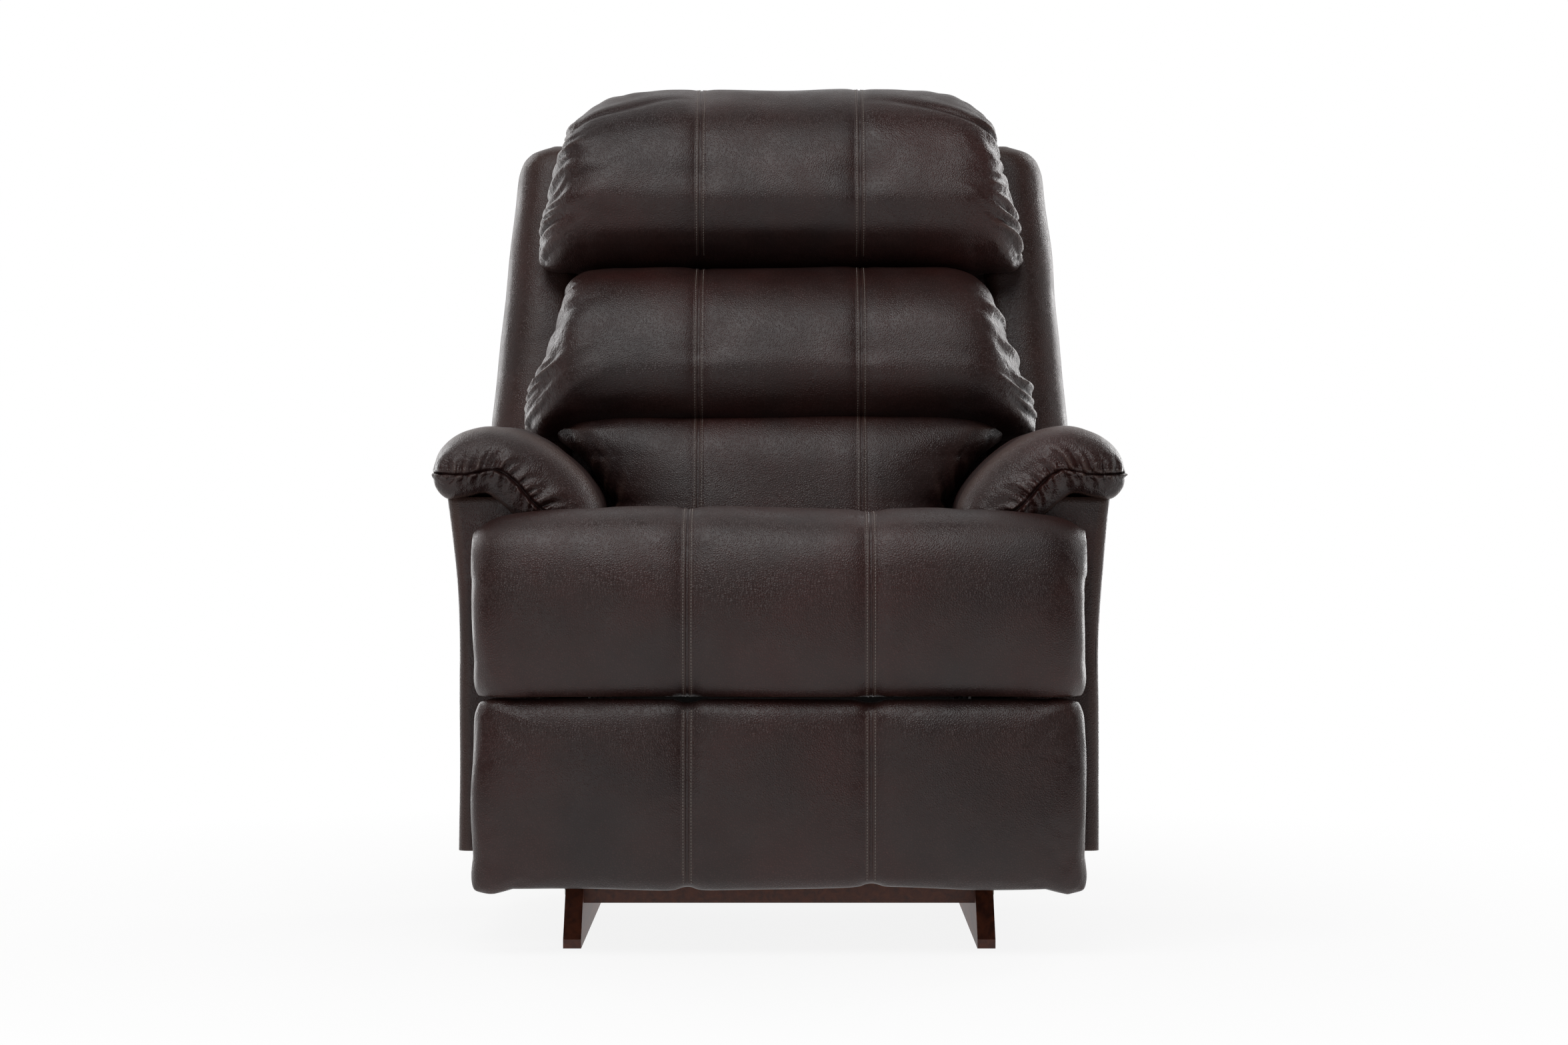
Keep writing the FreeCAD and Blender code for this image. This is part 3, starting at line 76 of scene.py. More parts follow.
def add(tree, kind, inputs=None, **settings):
    """Add a node, set its fields, then fill its inputs with values or links."""
    made = tree.nodes.new(kind)
    for field, value in settings.items():
        setattr(made, field, value)
    for name, value in (inputs or {}).items():
        if isinstance(value, bpy.types.NodeSocket):
            tree.links.new(value, made.inputs[name])
        else:
            made.inputs[name].default_value = value
    return made


def blank_material(name):
    """A new material with its shader and the object's own coordinates."""
    made = bpy.data.materials.new(name)
    made.use_nodes = True
    tree = made.node_tree
    return made, tree, tree.nodes["Principled BSDF"], add(tree, "ShaderNodeTexCoord").outputs["Object"]


def noise(tree, place, size, detail, **more):
    """A cloudy noise whose blobs have a real size."""
    return add(tree, "ShaderNodeTexNoise", {"Vector": place, "Scale": 1 / size, "Detail": detail, **more})


def calc(tree, operation, *values):
    """The result of one piece of arithmetic."""
    return add(tree, "ShaderNodeMath", dict(enumerate(values)), operation=operation).outputs[0]


def remap(tree, value, **limits):
    """A value moved from one range to another; a limit not given is 0 or 1."""
    inputs = {name.replace("_", " ").title(): limit for name, limit in limits.items()}
    return add(tree, "ShaderNodeMapRange", {"Value": value, **inputs}).outputs["Result"]


def blend(tree, share, first, second, how="MIX"):
    """Two colours mixed."""
    return add(tree, "ShaderNodeMix", {"Factor": share, "A": first, "B": second}, data_type="RGBA",
               blend_type=how).outputs["Result"]


# %% [markdown]
# ## Leather
# The hide is aniline dyed and finished with a satin coat. Three things give it away: a pebble of small
# rounded cells with fine valleys between, a slow drift from grey brown to red brown where the dye took
# differently, and folds rubbed pale on their ridges. The hollows of folds and seams are darkened too, as
# painted shade. The pebble is a warped Voronoi pattern. A real cell is about 2 mm, drawn here at 2.7 mm so
# that a render still shows it.

# %% The leather finish
GRAIN_CELL = 2.7 * MM
GRAIN_WARP = 2.8 * MM
CREASE_CELL = 0.9 * MM
CREASE_SHARE = 0.22
DYE_PATCH = 150 * MM
DYES = ((0.32, "#2a1a19"), (0.5, "#341f1c"), (0.70, "#3e211e"))
CRUMPLE = 11 * MM
CRUMPLE_HEIGHT = 12.0
VALLEY_TINT = (0.6, 0.56, 0.55, 1.0)
PEBBLE_TINT = (1.1, 1.1, 1.1, 1.0)


def make_leather():
    """Dark pebbled hide: dye drift, grain bump, pale wear on ridges and painted shade in hollows, read from
    the piece's own attributes.
    """
    made, tree, shader, place = blank_material("aniline_leather_espresso")
    warp = noise(tree, place, 9 * MM, 2.0)
    bent = add(tree, "ShaderNodeVectorMath", {0: warp.outputs["Color"], 1: (0.5, 0.5, 0.5)},
               operation="SUBTRACT")
    pushed = add(tree, "ShaderNodeVectorMath", {0: bent.outputs[0], 1: (GRAIN_WARP,) * 3, 2: place},
                 operation="MULTIPLY_ADD")
    cells = add(tree, "ShaderNodeTexVoronoi", {"Vector": pushed.outputs[0], "Scale": 1 / GRAIN_CELL},
                feature="DISTANCE_TO_EDGE")
    pebble = add(tree, "ShaderNodeMapRange", {"Value": cells.outputs["Distance"], "From Max": 0.42},
                 interpolation_type="SMOOTHSTEP").outputs["Result"]
    crease = noise(tree, place, CREASE_CELL, 3.0)
    height = calc(tree, "MULTIPLY_ADD", crease.outputs["Fac"], CREASE_SHARE, pebble)
    pull = add(tree, "ShaderNodeAttribute", attribute_name="pull")
    crumple = noise(tree, place, CRUMPLE, 2.0, Distortion=0.5)
    fold_height = calc(tree, "MULTIPLY", crumple.outputs["Fac"], pull.outputs["Fac"])
    relief = calc(tree, "MULTIPLY_ADD", fold_height, CRUMPLE_HEIGHT, height)
    bump = add(tree, "ShaderNodeBump", {"Height": relief, "Strength": 0.52, "Distance": 0.45 * MM})
    drift = noise(tree, place, DYE_PATCH, 4.0, Roughness=0.6)
    dye = add(tree, "ShaderNodeValToRGB", {"Fac": drift.outputs["Fac"]})
    stops = dye.color_ramp.elements
    stops.new(DYES[1][0])
    for stop, (position, colour) in zip(stops, DYES):
        stop.position = position
        stop.color = linear(colour)
    valley = blend(tree, pebble, VALLEY_TINT, PEBBLE_TINT)
    grained = blend(tree, 1.0, dye.outputs["Color"], valley, "MULTIPLY")
    wear_and_shade = add(tree, "ShaderNodeAttribute", attribute_name="wear_and_shade").outputs["Fac"]
    ridge = remap(tree, wear_and_shade, from_min=0.12, from_max=0.9, to_max=0.35)
    worn = blend(tree, ridge, grained, linear("#5a443b"))
    # Painted shade: sunk points in folds and seam valleys are darkened towards #140e0d, as if shade fell
    # there.
    fold = remap(tree, wear_and_shade, from_min=-0.1, from_max=-0.9, to_max=0.7)
    shaded = blend(tree, fold, worn, linear("#140e0d"))
    gloss = noise(tree, place, 45 * MM, 3.0)
    rough = remap(tree, gloss.outputs["Fac"], from_min=0.3, from_max=0.7, to_min=0.32, to_max=0.46)
    tree.links.new(shaded, shader.inputs["Base Color"])
    tree.links.new(rough, shader.inputs["Roughness"])
    tree.links.new(bump.outputs["Normal"], shader.inputs["Normal"])
    shader.inputs["IOR"].default_value = 1.44
    return made


leather = make_leather()
print("made", leather.name)

# %% [markdown]
# ## Wood
# The runners are stained hardwood under a thin satin lacquer, cut with the grain along their length. The
# hidden frame is pale softwood and plywood, left raw. Both are one recipe: noise stretched along the grain
# for the growth bands, and a finer stretched noise for the pores.


# %% Wood finishes
def make_wood(name, dark, pale, band, roughness):
    """Wood with its grain along Y: bands of growth, fine pores and a little bump."""
    made, tree, shader, place = blank_material(name)
    along = add(tree, "ShaderNodeMapping", {"Vector": place, "Scale": (1.0, 0.06, 1.0)}).outputs[0]
    growth = noise(tree, along, band, 5.0, Distortion=0.6)
    pores = noise(tree, along, 1.1 * MM, 2.0)
    tone = calc(tree, "MULTIPLY_ADD", pores.outputs["Fac"], 0.35, growth.outputs["Fac"])
    ramp = add(tree, "ShaderNodeValToRGB", {"Fac": tone})
    for stop, position, colour in zip(ramp.color_ramp.elements, (0.45, 0.85), (dark, pale)):
        stop.position = position
        stop.color = linear(colour)
    bump = add(tree, "ShaderNodeBump", {"Height": tone, "Strength": 0.25, "Distance": 0.2 * MM})
    tree.links.new(ramp.outputs["Color"], shader.inputs["Base Color"])
    tree.links.new(bump.outputs["Normal"], shader.inputs["Normal"])
    shader.inputs["Roughness"].default_value = roughness
    return made


runner_wood = make_wood("stained_hardwood_lacquered", "#3a1b12", "#673522", 9 * MM, 0.5)
frame_wood = make_wood("raw_softwood_frame", "#a9824f", "#cfae7c", 14 * MM, 0.75)
print("made", runner_wood.name, "and", frame_wood.name)

# %% [markdown]
# ## Metal and plastic
# The mechanism is pressed steel under black enamel, which dries with a faint orange peel. The springs are
# oil tempered wire, the bolts are zinc plated, the release pull is moulded plastic with a spark finish and
# its cable runs in a smooth vinyl sleeve. Each differs in colour, gloss and the size of its surface noise.
# Boards that could be glimpsed between the covers are wrapped in black cambric, as upholsterers do.


# %% Metal and plastic finishes
def make_hard(name, dark, pale, metallic, roughness, spread, speck, depth):
    """A hard finish: two close colours, uneven gloss and a fine bump of one speck size, in mm."""
    made, tree, shader, place = blank_material(name)
    cloud = noise(tree, place, 30 * MM, 4.0).outputs["Fac"]
    colour = blend(tree, cloud, linear(dark), linear(pale))
    fine = noise(tree, place, speck * MM, 2.0).outputs["Fac"]
    rough = remap(tree, cloud, to_min=roughness - spread, to_max=roughness + spread)
    bump = add(tree, "ShaderNodeBump", {"Height": fine, "Strength": 0.3, "Distance": depth * MM})
    tree.links.new(colour, shader.inputs["Base Color"])
    tree.links.new(rough, shader.inputs["Roughness"])
    tree.links.new(bump.outputs["Normal"], shader.inputs["Normal"])
    shader.inputs["Metallic"].default_value = metallic
    return made


finishes = {
    "leather": leather,
    "runner_wood": runner_wood,
    "frame_wood": frame_wood,
    "black_steel": make_hard("black_enamel_steel", "#141416", "#1f1f22", 0.0, 0.42, 0.08, 2.5, 0.1),
    "spring_steel": make_hard("oil_tempered_wire", "#4f4d4b", "#7d7a76", 1.0, 0.38, 0.1, 0.8, 0.03),
    "zinc_fastener": make_hard("zinc_plated_steel", "#a9aaa6", "#cfcfca", 1.0, 0.3, 0.08, 1.2, 0.03),
    "brown_plastic": make_hard("moulded_brown_abs", "#241a17", "#30231f", 0.0, 0.45, 0.06, 0.7, 0.06),
    "cable_sleeve": make_hard("black_vinyl_sleeve", "#121212", "#1c1c1c", 0.0, 0.5, 0.05, 1.5, 0.04),
}
cambric = make_hard("black_cambric_lining", "#0f0e0e", "#191716", 0.0, 0.85, 0.05, 0.9, 0.12)
thread = make_hard("bonded_nylon_thread", "#776e67", "#91877f", 0.0, 0.55, 0.06, 0.5, 0.05)

for part in frame["record"]["subparts"]:
    held = nodes[part["node"]]
    held.data.materials.clear()
    held.data.materials.append(finishes[part["material_slot"]])
for name in ("back_left_upright", "back_right_upright", "back_top_rail"):
    nodes[name].data.materials[0] = leather
for name in ("left_arm_panel", "right_arm_panel", "arm_front_boards", "arm_rear_boards", "arm_top_boards",
             "seat_front_rail", "seat_side_rails", "legrest_board", "rear_cross_board"):
    nodes[name].data.materials[0] = cambric

# %% [markdown]
# ## Cushions from their solids
# A cushion starts as a copy of its CAD solid. A voxel remesh gives it an even skin, a short smoothing eases
# its facets, and a cloth run with air pressure swells it, as foam swells its cover. The side that lies on the
# frame is held, and how far a point may travel is capped, so the cushion keeps its size.


# %% Mesh helpers
CLOTH_FRAMES = 20
WEAR_AND_SHADE_HEIGHT = 1.6 * MM


def read(mesh):
    """A mesh's points as an array."""
    flat = np.empty(len(mesh.vertices) * 3)
    mesh.vertices.foreach_get("co", flat)
    return flat.reshape(-1, 3)


def write(mesh, points):
    """Put an array of points back on a mesh."""
    mesh.vertices.foreach_set("co", np.ascontiguousarray(points).ravel())
    mesh.update()


def facing(mesh):
    """Every point's normal as an array."""
    flat = np.empty(len(mesh.vertices) * 3)
    mesh.vertex_normals.foreach_get("vector", flat)
    return flat.reshape(-1, 3)


def settle(obj):
    """Turn an object's modifiers into plain mesh and remove them."""
    graph = bpy.context.evaluated_depsgraph_get()
    plain = bpy.data.meshes.new_from_object(obj.evaluated_get(graph))
    obj.modifiers.clear()
    obj.data = plain
    return obj


def plain_piece(name, points, edges, faces):
    """A linked mesh object, as given."""
    mesh = bpy.data.meshes.new(name)
    mesh.from_pydata([tuple(p) for p in points], edges, faces)
    obj = bpy.data.objects.new(name, mesh)
    scene.collection.objects.link(obj)
    return obj


def new_piece(name, points, faces, material=None):
    """A linked mesh object, smooth shaded, with its normals made to agree."""
    obj = plain_piece(name, points, [], faces)
    mesh = obj.data
    shape = bmesh.new()
    shape.from_mesh(mesh)
    bmesh.ops.remove_doubles(shape, verts=shape.verts, dist=1e-6)
    bmesh.ops.recalc_face_normals(shape, faces=shape.faces)
    shape.to_mesh(mesh)
    shape.free()
    mesh.materials.append(material or leather)
    mesh.shade_smooth()
    return obj


def ring_faces(rings, count):
    """Faces between closed rings of points that follow one another."""
    faces = []
    for start in range(0, (rings - 1) * count, count):
        for i in range(count):
            j = (i + 1) % count
            faces.append((start + i, start + j, start + count + j, start + count + i))
    return faces


def end_caps(total, count):
    """One face over the first ring and one over the last."""
    return [tuple(range(count)), tuple(range(total - count, total))]


def give_thickness(obj, thickness):
    """Turn a sheet into a hide, its outer face where the sheet was."""
    hide = obj.modifiers.new("hide", "SOLIDIFY")
    hide.thickness = thickness
    hide.offset = -1
    settle(obj)


def eased_copy(node_name, name, voxel, rounds):
    """A remeshed, smoothed copy of a soft solid."""
    shape = bmesh.new()
    shape.from_mesh(nodes[node_name].data)
    bmesh.ops.remove_doubles(shape, verts=shape.verts, dist=1e-5)
    mesh = bpy.data.meshes.new(name)
    shape.to_mesh(mesh)
    shape.free()
    obj = bpy.data.objects.new(name, mesh)
    scene.collection.objects.link(obj)
    skin = obj.modifiers.new("skin", "REMESH")
    skin.mode = "VOXEL"
    skin.voxel_size = voxel
    ease = obj.modifiers.new("ease", "SMOOTH")
    ease.factor = 0.5
    ease.iterations = rounds
    return settle(obj)


def swell(obj, held, pressure, cap):
    """Blow a cushion up with cloth pressure; held points stay, and no point moves past the cap."""
    before = read(obj.data)
    group = obj.vertex_groups.new(name="held")
    for index in np.flatnonzero(held > 0):
        group.add([int(index)], float(held[index]), "REPLACE")
    cloth = obj.modifiers.new("cloth", "CLOTH")
    rules = cloth.settings
    rules.quality = 3
    rules.use_pressure = True
    rules.uniform_pressure_force = pressure
    rules.effector_weights.gravity = 0
    rules.tension_stiffness = 20
    rules.compression_stiffness = 20
    rules.bending_stiffness = 1.0
    rules.vertex_group_mass = "held"
    cloth.point_cache.frame_end = CLOTH_FRAMES
    for step in range(1, CLOTH_FRAMES + 1):
        scene.frame_set(step)
    settle(obj)
    scene.frame_set(1)
    obj.vertex_groups.clear()
    after = read(obj.data)
    travel = after - before
    far = np.linalg.norm(travel, axis=1, keepdims=True)
    write(obj.data, before + travel * (cap * np.tanh(far / cap) / np.maximum(far, 1e-9)))
    print(obj.name, "swelled by at most", round(float(far.max()) * 1000, 1), "mm")


def refine(obj, levels=2):
    """A smooth skin, each level halving its edges, made plain mesh."""
    finer = obj.modifiers.new("finer", "SUBSURF")
    finer.levels = levels
    finer.render_levels = levels
    return settle(obj)


def mark_wear_and_shade(obj):
    """Store how far each point stands proud of its surroundings, as an attribute for pale wear on ridges and
    painted shade in hollows.
    """
    mesh = obj.data
    points = read(mesh)
    ends = np.empty(len(mesh.edges) * 2, dtype=np.int64)
    mesh.edges.foreach_get("vertices", ends)
    ends = ends.reshape(-1, 2)
    count = np.bincount(ends.ravel(), minlength=len(points))[:, None]
    around = points
    for _ in range(5):
        total = np.zeros_like(points)
        np.add.at(total, ends[:, 0], around[ends[:, 1]])
        np.add.at(total, ends[:, 1], around[ends[:, 0]])
        around = total / np.maximum(count, 1)
    proud = ((points - around) * facing(mesh)).sum(axis=1) / WEAR_AND_SHADE_HEIGHT
    # Sunk points get painted shade in the leather, proud points pale wear.
    wear_and_shade = mesh.attributes.new("wear_and_shade", "FLOAT", "POINT")
    wear_and_shade.data.foreach_set("value", np.clip(proud, -1, 1))


def mark_pull(obj, values):
    """Store how strongly the cover is gathered at each point, as the pull attribute."""
    pull = obj.data.attributes.new("pull", "FLOAT", "POINT")
    pull.data.foreach_set("value", np.clip(values, 0, 1))


def finish_soft(obj, body, replaced):
    """Material, wear and painted shade, and body of a finished cushion; the solid it replaces is hidden."""
    obj.data.materials.clear()
    obj.data.materials.append(leather)
    obj.data.shade_smooth()
    mark_wear_and_shade(obj)
    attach(obj, body)
    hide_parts(replaced)
    print(obj.name, len(obj.data.polygons), "faces on", body)


# %% [markdown]
# ## Gathers
# The maker sews a long edge of leather to a short one, and the extra length stands up in folds that run in
# from the seam. Real folds differ: each has its own strength, length and lean. A fold is a soft ridge that
# widens and dies away from the seam, and a row of them at uneven steps makes a gathered edge.


# %% Gathered folds
def ramp(value, start, run):
    """0 up to a start, rising to 1 over a run; a negative run rises the other way."""
    return np.clip((value - start) / run, 0, 1)


def fade(share):
    """1 at the seam, easing to 0 at the fold's end."""
    left = np.clip(1 - share, 0, 1)
    return left * left * (3 - 2 * left)


def folds(along, inward, seed, pitch, reach, lean):
    """Height from 0 to about 1 of a row of gathered folds along a seam."""
    draw = np.random.default_rng(seed)
    height = np.zeros_like(along)
    place = along.min() - reach
    while place < along.max() + reach:
        place += pitch * draw.uniform(0.6, 1.45)
        strength = draw.uniform(0.45, 1.0)
        length = reach * draw.uniform(0.45, 1.15)
        slope = lean * draw.uniform(0.6, 1.4)
        width = pitch * draw.uniform(0.26, 0.44) * (1 + 0.9 * np.clip(inward / length, 0, 1.5))
        off = (along - place - slope * inward) / width
        height = np.maximum(height, strength * np.exp(-off * off) * fade(inward / length))
    return height


def ripple(points, seed, size):
    """A smooth uneven field of about plus or minus one, made of a few long waves."""
    draw = np.random.default_rng(seed)
    total = np.zeros(len(points))
    for _ in range(9):
        heading = draw.normal(size=3)
        heading *= 2 * math.pi / (size * draw.uniform(0.7, 1.8) * np.linalg.norm(heading))
        total += np.sin(points @ heading + draw.uniform(0, 2 * math.pi))
    return total / 3.2


def bands(points, seed, size):
    """The same kind of field drawn out sideways, as a cover sags in long level waves."""
    return ripple(points * (0.25, 1, 1), seed, size)


# %% [markdown]
# ## The back pillows
# Three pillows ride on the back frame, which leans 16 degrees, so their shaping is worked out in the back's
# own directions: up the back and out from it. The head and lumbar pillows are narrower at the top, and their
# sides are gathered into the side seams. Between its two sewn seams each face is nearly smooth.

# %% Places in the leaning back
RAKE_DEGREES = 16
RAKE = math.radians(RAKE_DEGREES)
HINGE = (225.5 * MM, 345 * MM)
SEAM_X = 110 * MM


def into_back(points):
    """Across, out from the back and up the back, for points in the row frame."""
    y = points[:, 1] - HINGE[0]
    z = points[:, 2] - HINGE[1]
    out = y * math.cos(RAKE) - z * math.sin(RAKE)
    up = y * math.sin(RAKE) + z * math.cos(RAKE)
    return points[:, 0], out, up


def from_back(x, out, up):
    """A point in the row frame from its place in the leaning back."""
    return Vector((x, HINGE[0] + out * math.cos(RAKE) + up * math.sin(RAKE),
                   HINGE[1] + up * math.cos(RAKE) - out * math.sin(RAKE)))


def seam_valley(x, depth, width):
    """How far the two sewn seams draw a face in."""
    off = (np.abs(x) - SEAM_X) / width
    return depth * np.exp(-off * off)


# %% Head and lumbar pillows
def corner(across, limit, run):
    """0 inside, rising to 1 over the last run before a limit."""
    return np.clip((across - limit + run) / run, 0, 1)


def lean_up(distance):
    """Moves up the leaning back, one for each distance."""
    return np.outer(distance, (0, math.sin(RAKE), math.cos(RAKE)))


def make_pillow(node_name, name, low, top, half_low, half_high, raised, seed):
    """A gathered back pillow, swelled from its solid, with its lower and upper edges raised a little."""
    obj = eased_copy(node_name, name, 10 * MM, 2)
    x, out, up = into_back(read(obj.data))
    half = half_low + (half_high - half_low) * ramp(up, low, top - low)
    held = ramp(out, -62 * MM, 18 * MM)
    held = np.maximum(held, seam_valley(x, 0.8, 9 * MM))
    held = np.maximum(held, np.clip((np.abs(x) - half + 10 * MM) / (14 * MM), 0, 0.9))
    swell(obj, held, 4.0, 14 * MM)
    refine(obj)
    points = read(obj.data)
    normals = facing(obj.data)
    x, out, up = into_back(points)
    half = half_low + (half_high - half_low) * ramp(up, low, top - low)
    front = ramp(out, -30 * MM, -20 * MM)
    along = up + 11 * MM * ripple(points, seed + 3, 90 * MM)
    behind = ramp(out, -100 * MM, 14 * MM)
    sideways = np.clip(np.abs(normals[:, 0]) * 2 - 1, 0, 1)
    lift = -4.5 * MM * np.exp(-((out + 100 * MM) / (6 * MM)) ** 2) * sideways
    gathered = np.zeros(len(points))
    for side in (1, -1):
        inward = np.clip(half + 6 * MM - side * x, 0, None)
        near = ramp(side * x, 0, 60 * MM) * (1 - 0.7 * behind) * (1 - 0.5 * corner(out, -95 * MM, 50 * MM))
        tucks = folds(along, inward, seed + side, 21 * MM, 50 * MM, 0.45) - 0.4 * fade(inward / (40 * MM))
        drags = folds(along, inward, seed + 40 + side, 42 * MM, 130 * MM, 0.75)
        fine = folds(along, inward, seed + 80 + side, 9 * MM, 34 * MM, 0.55)
        lift += near * (13 * MM * tucks + 4.2 * MM * drags + 3.4 * MM * fine)
        gathered += near * fade(inward / (75 * MM))
    lift -= front * seam_valley(x, 1.6 * MM, 11 * MM)
    dents = 1.6 * MM * ripple(points, seed + 5, 170 * MM)
    lift += front * (dents + 1.1 * MM * bands(points, seed + 7, 80 * MM))
    points = points + normals * lift[:, None]
    foot = corner(np.abs(x), half, 60 * MM) * corner(-up, -low, 50 * MM)
    points[:, 0] += np.sign(x) * 9 * MM * foot
    edges = raised[0] * fade((up - low) / (130 * MM)) + raised[1] * fade((top - up) / (130 * MM))
    write(obj.data, points + lean_up(edges - 9 * MM * foot))
    mark_pull(obj, gathered)
    return obj


head = make_pillow("head_pillow", "head_pillow_leather", 490 * MM, 778 * MM, 330 * MM, 294 * MM,
                   (24 * MM, 0), 11)
lumbar = make_pillow("lumbar_pillow", "lumbar_pillow_leather", 249 * MM, 486 * MM, 346 * MM, 292 * MM,
                     (20 * MM, 24 * MM), 23)

# %% [markdown]
# The leather of the head pillow turns onto its top along a soft crease, strongest at the shoulders, where
# it drags into a few long wrinkles.

# %% Crease over the head pillow
points = read(head.data)
normals = facing(head.data)
x, out, up = into_back(points)
crest = 744 * MM - 30 * MM * (x / (290 * MM)) ** 2 + 5 * MM * ripple(points, 29, 140 * MM)
drag = ramp(np.abs(x), 110 * MM, 140 * MM)
crease = np.exp(-((up - crest) / (4.5 * MM)) ** 2) - 0.6 * np.exp(-((up - crest - 13 * MM) / (8 * MM)) ** 2)
wrinkle = folds(np.abs(x), np.clip(790 * MM - up, 0, None), 31, 34 * MM, 60 * MM, -0.5)
lift = -2.6 * MM * drag * crease + 3.4 * MM * wrinkle * ramp(np.abs(x), 120 * MM, 120 * MM)
lift *= ramp(up, 640 * MM, 60 * MM)
shoulder = -34 * MM * ramp(np.abs(x), 130 * MM, 170 * MM) ** 2.2
shoulder *= ramp(up, 560 * MM, 200 * MM) ** 1.5
write(head.data, points + normals * lift[:, None] + lean_up(shoulder))
finish_soft(head, "back", "head_pillow")
finish_soft(lumbar, "back", "lumbar_pillow")

# %% [markdown]
# Below them the lower back runs down between the arm pads and behind the seat. Its sides follow the pads'
# rounded flanks with a few millimetres to spare, so it is drawn as a stack of soft box sections, each as wide
# as the pads leave it. Where the cover is tucked in beside the pads it puckers.

# %% The lower back cushion
PAD_HEIGHTS = [500, 540, 554, 570, 590, 602, 620, 640]
PAD_FLANKS = [229, 229, 239, 248, 264, 274, 300, 326]
LOWER_ROWS = 84
LOWER_COLUMNS = 240
LOWER_FOOT = 62
LOWER_TOP = 286


def box_section(half, depth, power):
    """Evenly spaced points on the front half of a soft box: share of the half width, and depth."""
    turn = np.linspace(0, math.pi, 4000)
    x = half * np.sign(np.cos(turn)) * np.abs(np.cos(turn)) ** (2 / power)
    y = depth * np.abs(np.sin(turn)) ** (2 / power)
    run = np.concatenate([[0], np.cumsum(np.hypot(np.diff(x), np.diff(y)))])
    at = np.linspace(0, run[-1], LOWER_COLUMNS)
    return np.interp(at, run, x) / half, np.interp(at, run, y)


def make_lower_back():
    """The cushion behind the seat, from its foot to just under the lumbar pillow."""
    share, deep = box_section(250, 146, 5)
    points = []
    middle = (LOWER_FOOT + LOWER_TOP) / 2
    for up in np.linspace(LOWER_FOOT, LOWER_TOP, LOWER_ROWS):
        level = (up - middle) / (LOWER_TOP - middle)
        out = -40 - deep * (1 - 0.24 * abs(level) ** 3.5)
        out = out + 30 * ramp(np.abs(share), 0.76, 0.24) ** 2 * ramp(up, 215, 50)
        z = HINGE[1] / MM + up * math.cos(RAKE) - out * math.sin(RAKE)
        half = np.interp(z, PAD_HEIGHTS, PAD_FLANKS)
        points += [from_back(*place) for place in zip(share * half * MM, out * MM, [up * MM] * len(out))]
    faces = end_caps(len(points), LOWER_COLUMNS) + ring_faces(LOWER_ROWS, LOWER_COLUMNS)
    obj = new_piece("lower_back_leather", points, faces)
    points = read(obj.data)
    x, out, up = into_back(points)
    half = np.interp(points[:, 2] / MM, PAD_HEIGHTS, PAD_FLANKS) * MM
    inward = np.clip(half - np.abs(x), 0, None)
    ahead = ramp(out, -90 * MM, -40 * MM)
    pucker = folds(up - 0.4 * np.abs(x), inward, 41, 24 * MM, 105 * MM, 0.8)
    fine = folds(up, inward, 43, 11 * MM, 60 * MM, 0.7)
    drawn = 7 * MM * (pucker - 0.6) * fade(inward / (120 * MM))
    lift = ahead * (drawn + 2 * MM * (fine - 0.5) * fade(inward / (60 * MM)))
    lift += ahead * (1.4 * MM * ripple(points, 47, 150 * MM) - seam_valley(x, 1.6 * MM, 11 * MM))
    write(obj.data, points + facing(obj.data) * lift[:, None])
    mark_pull(obj, 0.8 * ahead * fade(inward / (90 * MM)))
    return obj


lower = make_lower_back()
finish_soft(lower, "back", "lower_back_cushion")

# %% [markdown]
# ## The seat
# The seat cushion is one piece: flat behind, then crowned, then a big waterfall roll down the front. Behind
# the arm fronts it narrows to pass between the arms. The cover is pulled tight over the roll, so it has only
# slow dents, a few tucks at the upper corners and the sewn seams.

# %% Seat cushion
SEAT_HALF = 366 * MM
SEAT_FOOT = 318 * MM

seat = eased_copy("seat_cushion", "seat_leather", 12 * MM, 2)
points = read(seat.data)
x, y, z = points.T
held = ramp(y, -300 * MM, 60 * MM)
held = np.maximum(held, ramp(z, 345 * MM, -25 * MM))
held = np.maximum(held, seam_valley(x, 0.8, 11 * MM))
held = np.maximum(held, ramp(np.abs(x), 345 * MM, 15 * MM))
swell(seat, held, 3.0, 9 * MM)
refine(seat)
points = read(seat.data)
normals = facing(seat.data)
x, y, z = points.T
rolled = ramp(y, -340 * MM, -50 * MM)
ahead = ramp(y, -380 * MM, -30 * MM)
inward = np.clip(SEAT_HALF + 2 * MM - np.abs(x), 0, None)
tuck = folds(z, inward, 53, 42 * MM, 60 * MM, 0.5) * ramp(z, 420 * MM, 40 * MM)
lift = 4.5 * MM * tuck * rolled * (x > 0) + 1.5 * MM * tuck * rolled * (x < 0)
lift -= seam_valley(x, 1.8 * MM, 12 * MM)
lift += rolled * (1.8 * MM * ripple(points, 59, 190 * MM) + 1.3 * MM * bands(points, 61, 80 * MM))
points = points + normals * lift[:, None]
wide = corner(np.abs(x), SEAT_HALF, 70 * MM)
tall = corner(z, 520 * MM, 70 * MM)
foot = corner(-z, -SEAT_FOOT, 40 * MM)
points[:, 2] -= 10 * MM * ramp(z, 400 * MM, -70 * MM) * ahead
points[:, 2] -= rolled * 13 * MM * tall * corner(np.abs(x), SEAT_HALF, 130 * MM) ** 2
points[:, 2] -= rolled * 12 * MM * wide * foot
points[:, 0] += np.sign(x) * rolled * 14 * MM * wide * np.maximum(tall, 0.5 * foot)
points[:, 2] = np.maximum(points[:, 2], 310 * MM)
points[:, 0] = np.clip(points[:, 0], -371 * MM, 371 * MM)
write(seat.data, points)
finish_soft(seat, "seat", "seat_cushion")

# %% [markdown]
# ## The legrest panel
# Folded away, the legrest is the lower front of the chair: a padded board with rounded edges, the same two
# seams, and a bottom edge that scallops a little where the cover is stapled.

# %% Legrest
LEGREST_LOW = 73 * MM
LEGREST_HIGH = 309 * MM
LEGREST_HALF = 366 * MM

